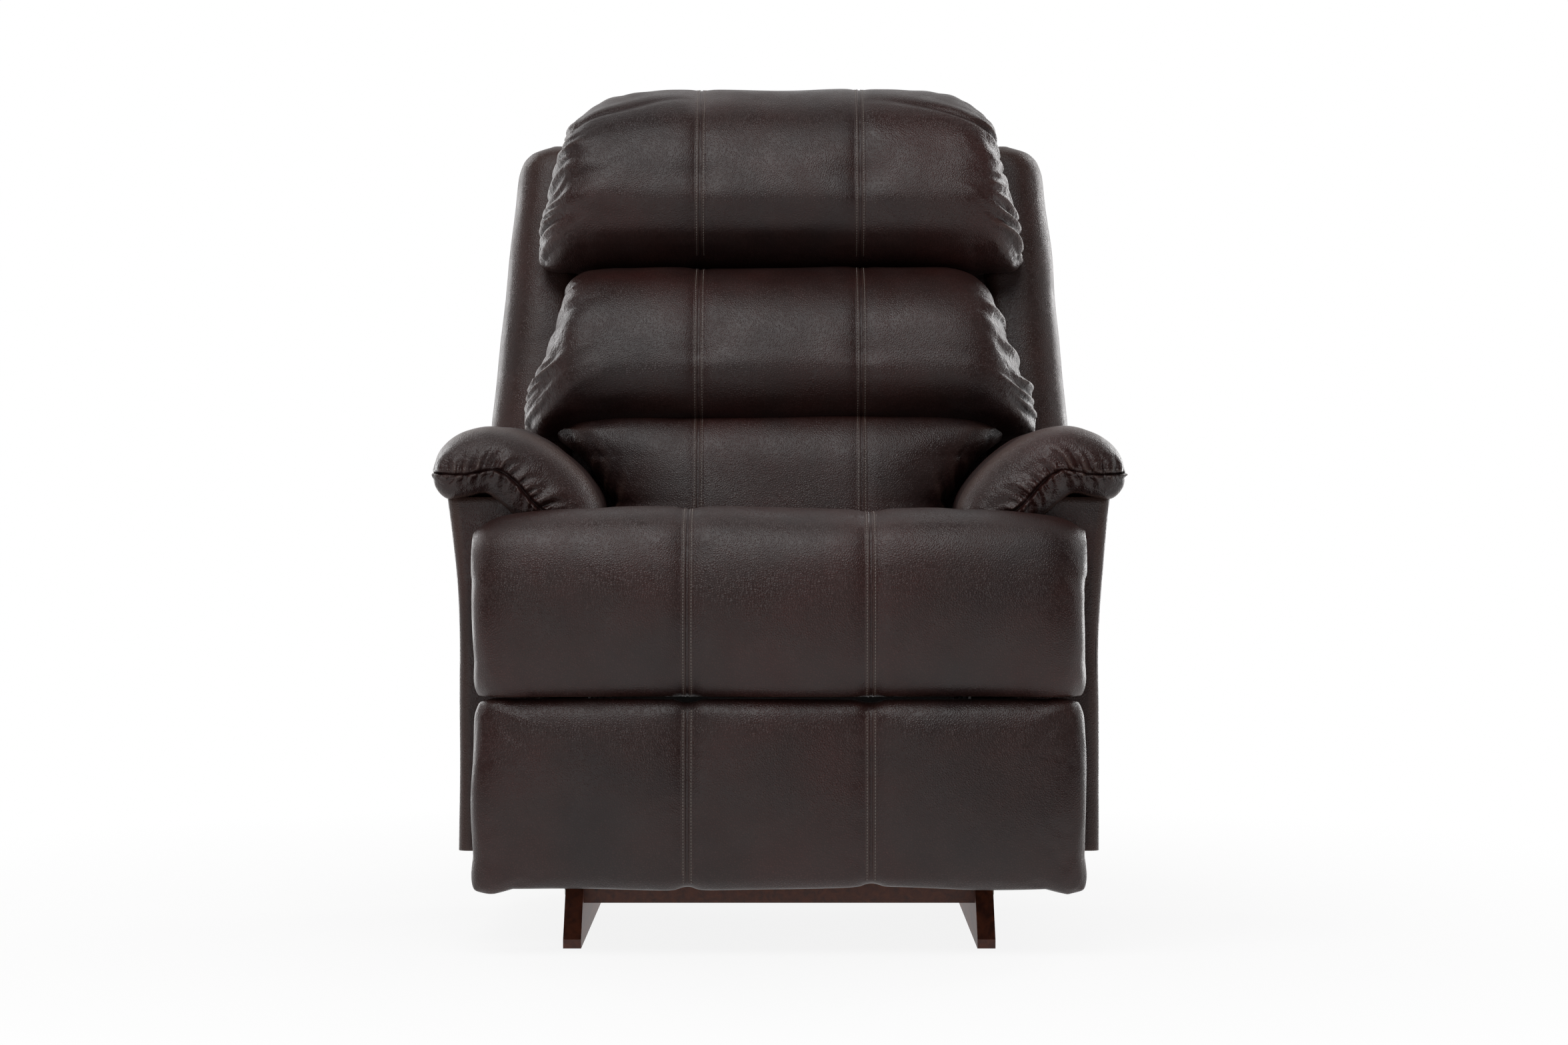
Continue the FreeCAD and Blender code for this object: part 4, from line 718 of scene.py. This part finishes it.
legrest = eased_copy("legrest_cushion", "legrest_leather", 9 * MM, 1)
points = read(legrest.data)
x, y, z = points.T
held = ramp(y, -452 * MM, 14 * MM)
held = np.maximum(held, seam_valley(x, 0.8, 10 * MM))
held = np.maximum(held, ramp(np.abs(x), 352 * MM, 12 * MM))
swell(legrest, held, 3.0, 8 * MM)
refine(legrest)
points = read(legrest.data)
normals = facing(legrest.data)
x, y, z = points.T
front = ramp(y, -448 * MM, -14 * MM)
lift = -front * seam_valley(x, 1.6 * MM, 11 * MM)
lift += front * (1.4 * MM * ripple(points, 67, 180 * MM) + 0.9 * MM * bands(points, 69, 80 * MM))
points = points + normals * lift[:, None]
wide = corner(np.abs(x), LEGREST_HALF, 46 * MM)
under = corner(-z, -82 * MM, 36 * MM)
points[:, 2] += 8 * MM * wide * corner(z, 304 * MM, 40 * MM) - 17 * MM * wide * under
points[:, 0] += np.sign(x) * 9 * MM * wide * under
low, high = points[:, 2].min(), points[:, 2].max()
points[:, 2] = LEGREST_LOW + (LEGREST_HIGH - LEGREST_LOW) * (points[:, 2] - low) / (high - low)
points[:, 2] = np.clip(points[:, 2], LEGREST_LOW + 1 * MM, LEGREST_HIGH - 1 * MM)
scallop = np.sin(x / (118 * MM) + 0.8) + 0.6 * np.sin(x / (61 * MM))
points[:, 2] += 1.5 * MM * scallop * under
points[:, 0] = np.clip(points[:, 0], -370 * MM, 370 * MM)
write(legrest.data, points)
finish_soft(legrest, "legrest", "legrest_cushion")

# %% [markdown]
# ## Wings and back panels
# The wings are padded cheeks beside the pillows. Behind them a firm padded panel closes the back. They are
# stretched tight over board, so they get only a slow unevenness.

# %% Wings and outer back
for node_name, voxel, fill, wave in (
        ("left_wing", 10 * MM, 0.7, 1.2 * MM),
        ("right_wing", 10 * MM, 0.7, 1.2 * MM),
        ("outer_back", 11 * MM, 0.8, 1.0 * MM)):
    name = node_name + "_leather"
    panel = eased_copy(node_name, name, voxel, 1)
    refine(panel, 1)
    points = read(panel.data)
    lift = 3 * MM + wave * (ripple(points, len(name), 160 * MM) - 0.5)
    flare = 14 * MM * ramp(points[:, 2], 1000 * MM, -350 * MM)
    flare *= ramp(np.abs(points[:, 0]), 315 * MM, 60 * MM)
    spread = np.outer(np.sign(points[:, 0]) * flare, (1, 0, 0))
    write(panel.data, points + facing(panel.data) * lift[:, None] + spread)
    finish_soft(panel, "back", node_name)

# %% [markdown]
# Where the wings meet the back panel the two covers are closed over a cord, so a thin round welt runs down
# each joint.

# %% Welts down the back
WELT_AROUND = 12
WELT_RADIUS = 6 * MM


def make_welt(name, path):
    """A round leather welt along a path of points on the back."""
    path = np.array(path)
    heading = np.gradient(path, axis=0)
    heading /= np.linalg.norm(heading, axis=1, keepdims=True)
    first = np.cross(heading, (1.0, 0.0, 0.0))
    first /= np.linalg.norm(first, axis=1, keepdims=True)
    second = np.cross(heading, first)
    points = []
    for i in range(len(path)):
        for turn in np.linspace(0, 2 * math.pi, WELT_AROUND, endpoint=False):
            points.append(path[i] + WELT_RADIUS * (first[i] * math.cos(turn) + second[i] * math.sin(turn)))
    obj = new_piece(name, points, end_caps(len(points), WELT_AROUND) + ring_faces(len(path), WELT_AROUND))
    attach(obj, "back")


for side, name in ((1, "right_back_welt"), (-1, "left_back_welt")):
    make_welt(name, [from_back(side * 290 * MM, 70 * MM, up * MM) for up in np.linspace(52, 704, 60)])
print("welts down the back: 2")

# %% [markdown]
# A low apron of the same leather closes the base behind. It is one flat sheet with two slots, where the hinge
# plates of the back pass through.

# %% The low apron behind the base
def make_apron():
    """A sheet of leather over the rear boards, open where the two hinge plates pass."""
    across = np.linspace(-393, 393, 132)
    heights = np.linspace(137, 345, 36)
    points = [(x * MM, 173 * MM, z * MM) for z in heights for x in across]
    faces = []
    for row in range(len(heights) - 1):
        for i in range(len(across) - 1):
            if 282 < abs(across[i] + 3) < 306 and heights[row + 1] > 318:
                continue
            a = row * len(across) + i
            faces.append((a, a + len(across), a + len(across) + 1, a + 1))
    obj = plain_piece("rear_apron_leather", points, [], faces)
    place = read(obj.data)
    place[:, 1] += 1.2 * MM * (ripple(place, 97, 130 * MM) - 0.4)
    write(obj.data, place)
    give_thickness(obj, 4 * MM)
    finish_soft(obj, "chassis", "rear_cover")


make_apron()

# %% [markdown]
# ## Arm pads
# An arm pad is a fat roll with a flat underside that droops over the inside of the arm. The top leather
# comes over the crest and down the front to a welt, and a short gathered band runs from the welt back
# under the pad.
# So the section is two lines that share their ends: the top from the outer welt over the crest to the inner
# edge, and the band below. At the nose both close onto the welt line, each with its own bulge.

# %% Arm pad sections
PAD_TOP = [(424, 579), (421, 600), (408, 617), (385, 630), (352, 636.5), (310, 628), (268, 602), (236, 570),
           (219, 538), (221, 517), (240, 509)]
PAD_UNDER = [(424, 579), (422, 562), (410, 548), (396, 546.5), (370, 546.5), (330, 546.5), (300, 546.5),
             (290, 540), (287, 522), (268, 511), (240, 509)]
PAD_BAND = [(424, 579), (420, 560), (406, 547), (385, 549), (361, 554), (348, 547), (337, 538), (324, 527),
            (300, 514), (270, 508), (240, 509)]
PAD_WELT = [(423, 579), (402, 577), (381, 577), (352, 582), (338, 580), (320, 566), (300, 543), (284, 530),
            (266, 520), (252, 513), (240, 509)]
PAD_STEPS = 180


def smooth_line(corners, steps):
    """Evenly spaced points on a smooth line through some corners."""
    knots = np.array(corners, dtype=float)
    knots = np.vstack([2 * knots[0] - knots[1], knots, 2 * knots[-1] - knots[-2]])
    dense = []
    for a, b, c, d in zip(knots, knots[1:], knots[2:], knots[3:]):
        for t in np.linspace(0, 1, 40, endpoint=False):
            dense.append(0.5 * (2 * b + (c - a) * t + (2 * a - 5 * b + 4 * c - d) * t * t
                                + (3 * b - a - 3 * c + d) * t ** 3))
    dense = np.array(dense + [knots[-2]])
    run = np.concatenate([[0], np.cumsum(np.linalg.norm(np.diff(dense, axis=0), axis=1))])
    at = np.linspace(0, run[-1], steps + 1)
    return np.stack([np.interp(at, run, dense[:, i]) for i in range(2)], axis=1)


pad_top = smooth_line(PAD_TOP, PAD_STEPS)
pad_under = smooth_line(PAD_UNDER, PAD_STEPS)
pad_band = smooth_line(PAD_BAND, PAD_STEPS)
pad_welt = smooth_line(PAD_WELT, PAD_STEPS)
print("arm pad section:", 2 * PAD_STEPS, "points")


# %% One arm pad
PAD_NOSE = -388
PAD_TAIL = 221
NOSE_STEPS = 46
TAIL_STEPS = 12


def pad_crimp(run, inward, seed, reach):
    """Height in mm of the gathers beside the welt, with the groove of the seam and the lip next to it."""
    tucks = folds(run, inward, seed, 17, reach, 0.4) - 0.35 * fade(inward / (0.8 * reach))
    fine = folds(run, inward, seed + 20, 7, 0.6 * reach, 0.3)
    pinned = 1 - np.exp(-(inward / 3.5) ** 2)
    groove = 2.8 * np.exp(-(inward / 1.7) ** 2) - 1.3 * np.exp(-((inward - 4.2) / 2.0) ** 2)
    return pinned * (9.0 * tucks + 2.6 * fine) - groove


def pad_rows(seed):
    """Rows of (x, y, z) round the pad in mm, from the welt at the nose to the tail, top then under."""
    share = np.linspace(0, 1, PAD_STEPS + 1)
    run = share * 260
    ends = np.clip(share / 0.012, 0, 1) * np.clip((1 - share) / 0.06, 0, 1)
    turned = np.clip((pad_welt[:, 0] - 386) / 38, 0, 0.995)
    nose = PAD_NOSE + 34 * (1 - np.sqrt(1 - turned ** 2))
    rows = []
    for step in range(NOSE_STEPS + 1):
        size = (step / NOSE_STEPS) ** 1.8
        ahead = math.sqrt(1 - size ** 2.6)
        row = []
        for line, start, below, reach in ((pad_top, -322, 0, 50), (pad_band, -364, 1, 34)):
            inward = np.linalg.norm(line - pad_welt, axis=1) * size
            inward = inward + np.maximum(start - nose, 0) * (1 - ahead)
            bulge = pad_crimp(run, inward, seed + below, reach) * ends
            push = np.gradient(line, axis=0)
            push = np.stack([push[:, 1], -push[:, 0]], axis=1) * (-1 if below else 1)
            push /= np.linalg.norm(push, axis=1, keepdims=True)
            flat = pad_welt + (line - pad_welt) * size + push * (bulge * (1 - ahead ** 2))[:, None]
            y = start - (start - nose) * ahead - bulge * ahead ** 2
            row.append(np.column_stack([flat[:, 0], y, flat[:, 1]]))
        rows.append(row)
    for y in np.arange(-316, 181, 8.0):
        far = (y - PAD_NOSE) / (PAD_TAIL - PAD_NOSE)
        top = pad_top.copy()
        top[:, 1] -= 26 * far ** 3 * ramp(top[:, 1], 545, 92)
        under = pad_under.copy()
        row = []
        for line in (top, under):
            line[:, 0] += 18 * far * ramp(line[:, 0], 300, -80)
            row.append(np.column_stack([line[:, 0], np.full(len(line), y), line[:, 1]]))
        rows.append(row)
    last = rows[-1]
    middle = (last[0] + last[1]) / 2
    for step in range(1, TAIL_STEPS + 1):
        turn = math.pi / 2 * step / TAIL_STEPS
        size = math.cos(turn) if step < TAIL_STEPS else 0.0
        shift = np.array([0, 40 * math.sin(turn), 0])
        rows.append([middle + (line - middle) * size + shift for line in last])
    return rows


def make_arm_pad(side, seed):
    """One pad skinned over its rows; the left one is the mirror of the right, with its own gathers."""
    loops = [np.vstack([top, under[-2:0:-1]]) for top, under in pad_rows(seed)]
    points = np.vstack(loops) * MM
    points[:, 0] *= side
    faces = ring_faces(len(loops), len(loops[0]))
    name = ("right" if side > 0 else "left") + "_arm_pad"
    obj = new_piece(name + "_leather", points, faces)
    points = read(obj.data)
    lift = 1.3 * MM * ripple(points, seed + 9, 120 * MM) * ramp(points[:, 2], 560 * MM, 20 * MM)
    write(obj.data, points + facing(obj.data) * lift[:, None])
    welt = np.column_stack([side * pad_welt[::6, 0], pad_welt[::6, 1]]) * MM
    away = np.linalg.norm(points[:, None, 0:3:2] - welt, axis=2).min(axis=1)
    ahead = ramp(points[:, 1], -320 * MM, -40 * MM)
    mark_pull(obj, ahead * fade(away / (55 * MM)))
    finish_soft(obj, "chassis", name)


make_arm_pad(1, 71)
make_arm_pad(-1, 83)

# %% [markdown]
# ## Arm covers
# Below the pad the arm is a board box in one wrapped sheet of leather: a flat front panel, a soft corner and
# a long outer side that flares towards the top. It is drawn as a grid that follows a plan line round the arm
# at every height, then given the hide's thickness.

# %% Arm cover sheets
ARM_INNER = 293
ARM_FRONT = -366
ARM_REAR = 168
ARM_LOW = 115
ARM_HIGH = 549


def arm_plan(z):
    """The plan line round a right arm at one height: points, and which of them are on the inner side."""
    outer = 393 + 14 * max((z - 330) / 215, 0) ** 2
    rear = ARM_REAR + max(z - 360, 0) * math.tan(RAKE)
    line = [(ARM_INNER, y) for y in np.linspace(rear, ARM_FRONT + 10, 60)]
    inner = len(line)
    for turn in np.linspace(0, math.pi / 2, 5)[1:]:
        line.append((ARM_INNER + 10 - 10 * math.cos(turn), ARM_FRONT + 10 - 10 * math.sin(turn)))
    line += [(x, ARM_FRONT) for x in np.linspace(ARM_INNER + 12, outer - 16, 12)]
    for turn in np.linspace(0, math.pi / 2, 7):
        line.append((outer - 14 + 14 * math.sin(turn), ARM_FRONT + 14 - 14 * math.cos(turn)))
    line += [(outer, y) for y in np.linspace(ARM_FRONT + 16, rear - 14, 66)]
    for turn in np.linspace(0, math.pi / 2, 6):
        line.append((outer - 12 + 12 * math.cos(turn), rear - 12 + 12 * math.sin(turn)))
    line += [(x, rear) for x in np.linspace(outer - 14, ARM_INNER + 10, 12)]
    return line, inner


def make_arm_cover(side, seed):
    """The wrapped sheet of one arm; the left one is open where the release pull sits."""
    heights = [ARM_LOW + 1, ARM_LOW + 3] + list(np.linspace(ARM_LOW + 8, ARM_HIGH, 58))
    rows = [arm_plan(z) for z in heights]
    inner = rows[0][1]
    points = []
    for (line, _), z in zip(rows, heights):
        points += [(side * x * MM, y * MM, z * MM) for x, y in line]
    count = len(rows[0][0])
    faces = []
    for row in range(len(rows) - 1):
        for i in range(count - 1):
            a, b = row * count + i, (row + 1) * count + i
            x, y, z = points[a]
            if i < inner - 1 and z < 402 * MM:
                continue
            pulled = abs(y + 125 * MM) < 66 * MM and abs(z - 335 * MM) < 38 * MM
            if side < 0 and x < -380 * MM and pulled:
                continue
            faces.append((a, a + 1, b + 1, b))
    name = ("right" if side > 0 else "left") + "_arm_cover"
    outward = faces if side > 0 else [face[::-1] for face in faces]
    obj = plain_piece(name + "_leather", points, [], outward)
    mesh = obj.data
    shape = bmesh.new()
    shape.from_mesh(mesh)
    bmesh.ops.delete(shape, geom=[v for v in shape.verts if not v.link_faces], context="VERTS")
    shape.to_mesh(mesh)
    shape.free()
    place = read(mesh)
    lift = 1.1 * MM * (ripple(place, seed, 150 * MM) - 0.9)
    write(mesh, place + facing(mesh) * lift[:, None])
    give_thickness(obj, 3 * MM)
    finish_soft(obj, "chassis", name)


make_arm_cover(1, 91)
make_arm_cover(-1, 93)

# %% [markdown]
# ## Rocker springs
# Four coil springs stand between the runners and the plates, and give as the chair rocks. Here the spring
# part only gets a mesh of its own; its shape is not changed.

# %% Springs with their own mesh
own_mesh(nodes["rocker_springs"])

# %% [markdown]
# ## Seams and stitches
# Each cushion face is three panels joined by two flat seams. The edges are folded under and sewn down on
# both sides, so a seam is a narrow valley between two low lips with a row of pale thread outside each lip.
# A remesh would lose lips this fine, so a seam is a strip laid on the finished cushion: rays find the
# surface on lines beside the seam, and the strip's profile is added to it.


# %% Lines across a cushion
def fan(centre, start, end, steps):
    """Rays from one point in the seam's plane, turning from one angle to another."""
    y, z = centre
    turns = np.radians(np.linspace(start, end, steps))
    return [(y, z, math.cos(t), math.sin(t)) for t in turns]


def surface_line(tree, x, probes):
    """Points and normals where a set of rays at one x leaves a cushion."""
    found = []
    for y, z, along_y, along_z in probes:
        spot, normal, _, _ = tree.ray_cast(Vector((x, y, z)), Vector((0, along_y, along_z)))
        if spot is not None:
            outward = normal if normal.y * along_y + normal.z * along_z > 0 else -normal
            found.append((np.array(spot), np.array(outward)))
    spots = np.array([f[0] for f in found])
    normals = np.array([f[1] for f in found])
    for _ in range(3):
        spots[1:-1] = (spots[:-2] + 2 * spots[1:-1] + spots[2:]) / 4
        normals[1:-1] = (normals[:-2] + 2 * normals[1:-1] + normals[2:]) / 4
    return spots, normals / np.linalg.norm(normals, axis=1, keepdims=True)


SEAM_PROFILE = [(-9.0, -1.2), (-7.6, 0.1), (-6.2, 0.6), (-4.9, 0.35), (-3.8, 0.9), (-2.6, 1.4), (-1.7, 0.9),
                (-1.0, -1.2), (0.0, -2.6), (1.0, -1.2), (1.7, 0.8), (2.6, 1.2), (3.8, 0.8), (4.9, 0.35),
                (6.2, 0.6), (7.6, 0.1), (9.0, -1.2)]
STITCH_ROWS = (3, 13)


def sew(obj, probes, strips, rows):
    """Lay both seams of one cushion: strip pieces and the lines that its stitches follow."""
    shape = bmesh.new()
    shape.from_mesh(obj.data)
    tree = BVHTree.FromBMesh(shape)
    shape.free()
    for side in (1, -1):
        lines = []
        for across, rise in SEAM_PROFILE:
            spots, normals = surface_line(tree, side * SEAM_X + across * MM, probes)
            lines.append(spots + normals * rise * MM)
        shortest = min(len(line) for line in lines)
        lines = [line[:shortest] for line in lines]
        strips.append(lines)
        for index in STITCH_ROWS:
            rows.append(lines[index])


def back_fan(out, up, start, end, steps):
    """Rays for a pillow: from a place in the leaning back, with angles measured in the back's directions."""
    spot = from_back(0, out, up)
    return fan((spot.y, spot.z), start - RAKE_DEGREES, end - RAKE_DEGREES, steps)


back_strips, back_rows = [], []
sew(head, back_fan(-70 * MM, 640 * MM, 245, 75, 130), back_strips, back_rows)
sew(lumbar, back_fan(-80 * MM, 370 * MM, 245, 100, 110), back_strips, back_rows)
sew(lower, back_fan(-70 * MM, 160 * MM, 235, 115, 70), back_strips, back_rows)
seat_strips, seat_rows = [], []
over_seat = [(y, 430 * MM, 0.0, 1.0) for y in np.linspace(-390 * MM, 40 * MM, 70)]
sew(seat, fan((-400 * MM, 430 * MM), 262, 92, 110) + over_seat, seat_strips, seat_rows)
legrest_strips, legrest_rows = [], []
sew(legrest, fan((-462 * MM, 192 * MM), 265, 95, 120), legrest_strips, legrest_rows)
print("seam strips:", len(back_strips) + len(seat_strips) + len(legrest_strips))


# %% Seam strips
def lay_strips(name, strips, body):
    """One piece of leather for all seams of a body."""
    points = []
    faces = []
    for lines in strips:
        start = len(points)
        length = len(lines[0])
        for line in lines:
            points += list(line)
        for row in range(len(lines) - 1):
            for i in range(length - 1):
                a = start + row * length + i
                faces.append((a, a + length, a + length + 1, a + 1))
    obj = new_piece(name, points, faces)
    # This gives the seam's valley painted shade and its lips pale wear.
    mark_wear_and_shade(obj)
    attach(obj, body)
    print(name, len(faces), "faces")


lay_strips("back_seams", back_strips, "back")
lay_strips("seat_seams", seat_strips, "seat")
lay_strips("legrest_seams", legrest_strips, "legrest")

# %% [markdown]
# A stitch repeats a few thousand times along a line, which is work for Geometry Nodes: the line becomes a
# curve, the curve is sampled at the stitch pitch, and a small stretched bead is set on every sample along the
# line's heading. Real stitches here are about 3 mm long at a pitch of 3.8 mm.


# %% Stitches by Geometry Nodes
def stitch_tree():
    """A node group that sets thread beads along the edges of a mesh."""
    tree = bpy.data.node_groups.new("topstitch", "GeometryNodeTree")
    face = tree.interface
    face.new_socket("Geometry", in_out="INPUT", socket_type="NodeSocketGeometry")
    sizes = {name: face.new_socket(name, in_out="INPUT", socket_type="NodeSocketFloat").identifier
             for name in ("Pitch", "Length", "Thickness")}
    face.new_socket("Geometry", in_out="OUTPUT", socket_type="NodeSocketGeometry")
    given = add(tree, "NodeGroupInput")
    line = add(tree, "GeometryNodeMeshToCurve", {"Mesh": given.outputs["Geometry"]})
    pitch = given.outputs["Pitch"]
    dots = add(tree, "GeometryNodeCurveToPoints", {"Curve": line.outputs[0], "Length": pitch}, mode="LENGTH")
    thick = given.outputs["Thickness"]
    size = add(tree, "ShaderNodeCombineXYZ", {"X": thick, "Y": thick, "Z": given.outputs["Length"]})
    bead = add(tree, "GeometryNodeMeshUVSphere", {"Segments": 6, "Rings": 4, "Radius": 0.5})
    turn = add(tree, "FunctionNodeAlignRotationToVector", {"Vector": dots.outputs["Tangent"]}, axis="Z")
    beads = add(tree, "GeometryNodeInstanceOnPoints", {
        "Points": dots.outputs["Points"], "Instance": bead.outputs["Mesh"],
        "Rotation": turn.outputs["Rotation"], "Scale": size.outputs["Vector"]})
    real = add(tree, "GeometryNodeRealizeInstances", {"Geometry": beads.outputs[0]})
    coloured = add(tree, "GeometryNodeSetMaterial", {"Geometry": real.outputs[0], "Material": thread})
    add(tree, "NodeGroupOutput", {"Geometry": coloured.outputs[0]})
    return tree, sizes


topstitch, stitch_sockets = stitch_tree()
STITCH = {"Pitch": 3.8 * MM, "Length": 3.0 * MM, "Thickness": 1.0 * MM}


def stitch(name, rows, body):
    """Thread along every row, as one plain mesh on a body."""
    points = []
    edges = []
    for row in rows:
        start = len(points)
        points += list(row)
        edges += [(start + i, start + i + 1) for i in range(len(row) - 1)]
    obj = plain_piece(name, points, edges, [])
    sewn = obj.modifiers.new("topstitch", "NODES")
    sewn.node_group = topstitch
    for label, identifier in stitch_sockets.items():
        sewn[identifier] = STITCH[label]
    settle(obj)
    obj.data.shade_smooth()
    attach(obj, body)
    print(name, len(obj.data.polygons), "faces")


stitch("back_stitches", back_rows, "back")
stitch("seat_stitches", seat_rows, "seat")
stitch("legrest_stitches", legrest_rows, "legrest")

# %% [markdown]
# ## Stage
# The photograph is a plain cut out on white. A pale floor keeps a faint soft shadow, and the camera sees it
# and the world as white. A wide soft light hangs above the front left, a weaker one fills from the front,
# narrow ones stand at both sides, and two tall strips behind draw the bright edges down the chair.


# %% Floor and world
def not_diffuse(tree):
    """1 for the rays of the camera, of gloss and of glass, 0 for the rays that light a surface."""
    seen = add(tree, "ShaderNodeLightPath")
    either = calc(tree, "MAXIMUM", seen.outputs["Is Camera Ray"], seen.outputs["Is Glossy Ray"])
    return seen, calc(tree, "MAXIMUM", either, seen.outputs["Is Transmission Ray"])


FLOOR_REACH = 9.0
PLAIN_NEAR = 0.88


def make_floor():
    """A pale floor that the camera sees as white, with a faint shadow under the chair."""
    made, tree, shader, place = blank_material("pale_studio_floor")
    shader.inputs["Base Color"].default_value = (0.86, 0.86, 0.86, 1.0)
    shader.inputs["Roughness"].default_value = 0.8
    _, direct = not_diffuse(tree)
    glow = add(tree, "ShaderNodeEmission", {"Color": (1.0, 1.0, 1.0, 1.0), "Strength": 1.0})
    away = add(tree, "ShaderNodeVectorMath", {0: place}, operation="LENGTH")
    plain = remap(tree, away.outputs["Value"], from_min=0.6, from_max=1.7, to_min=PLAIN_NEAR)
    share = calc(tree, "MULTIPLY", direct, plain)
    both = add(tree, "ShaderNodeMixShader", {0: share, 1: shader.outputs[0], 2: glow.outputs[0]})
    tree.links.new(both.outputs[0], tree.nodes["Material Output"].inputs["Surface"])
    corners = [(x * FLOOR_REACH, y * FLOOR_REACH, 0) for x, y in ((-1, -1), (1, -1), (1, 1), (-1, 1))]
    new_piece("floor", corners, [(0, 1, 2, 3)], made)


make_floor()
world = bpy.data.worlds.new("studio")
scene.world = world
world.use_nodes = True
tree = world.node_tree
sky = tree.nodes["Background"]
sky.inputs["Color"].default_value = (1.0, 1.0, 1.0, 1.0)
seen, direct = not_diffuse(tree)
heading = add(tree, "ShaderNodeSeparateXYZ", {0: add(tree, "ShaderNodeTexCoord").outputs["Generated"]})
backdrop = add(tree, "ShaderNodeMapRange", {"Value": heading.outputs["Y"], "From Min": 0.0, "From Max": 0.7,
                                            "To Min": 0.08, "To Max": 1.0}, interpolation_type="SMOOTHSTEP")
shown = calc(tree, "MAXIMUM", seen.outputs["Is Camera Ray"], backdrop.outputs["Result"])
level = add(tree, "ShaderNodeMix", {"Factor": direct, "A": 0.12, "B": shown}, data_type="FLOAT")
tree.links.new(level.outputs["Result"], sky.inputs["Strength"])


# %% Lamps and camera
def lamp(name, place, aim, width, height, watts):
    """A soft rectangular light looking at a point."""
    data = bpy.data.lights.new(name, "AREA")
    data.shape = "RECTANGLE"
    data.size = width
    data.size_y = height
    data.energy = watts
    obj = bpy.data.objects.new(name, data)
    scene.collection.objects.link(obj)
    obj.location = place
    obj.rotation_euler = (Vector(aim) - Vector(place)).to_track_quat("-Z", "Y").to_euler()


lamp("overhead_soft", (-0.5, -1.6, 3.0), (0.0, -0.2, 0.5), 2.6, 2.0, 56)
lamp("front_fill", (-0.9, -4.5, 0.9), (0.0, 0.0, 0.5), 2.4, 1.4, 16)
lamp("left_side", (-2.4, 0.0, 1.2), (-0.3, 0.0, 0.7), 0.4, 1.6, 5)
lamp("right_side", (2.4, 0.0, 1.2), (0.3, 0.0, 0.7), 0.4, 1.6, 7)
lamp("left_edge", (-1.7, 1.9, 1.2), (-0.3, 0.2, 0.7), 0.7, 2.4, 20)
lamp("right_edge", (1.7, 1.9, 1.2), (0.3, 0.2, 0.7), 0.7, 2.4, 30)

PHOTO_WIDTH = 2352
FOCAL_PIXELS = 5927
eye = bpy.data.cameras.new("front_camera")
eye.sensor_width = 36
eye.lens = FOCAL_PIXELS * eye.sensor_width / PHOTO_WIDTH
eye.shift_x = -4 / PHOTO_WIDTH
eye.shift_y = -70 / PHOTO_WIDTH
camera = bpy.data.objects.new("front_camera", eye)
scene.collection.objects.link(camera)
camera.location = (9 * MM, -5.2, 575 * MM)
camera.rotation_euler = (math.radians(90), 0, 0)
scene.camera = camera
scene.view_settings.view_transform = "Standard"
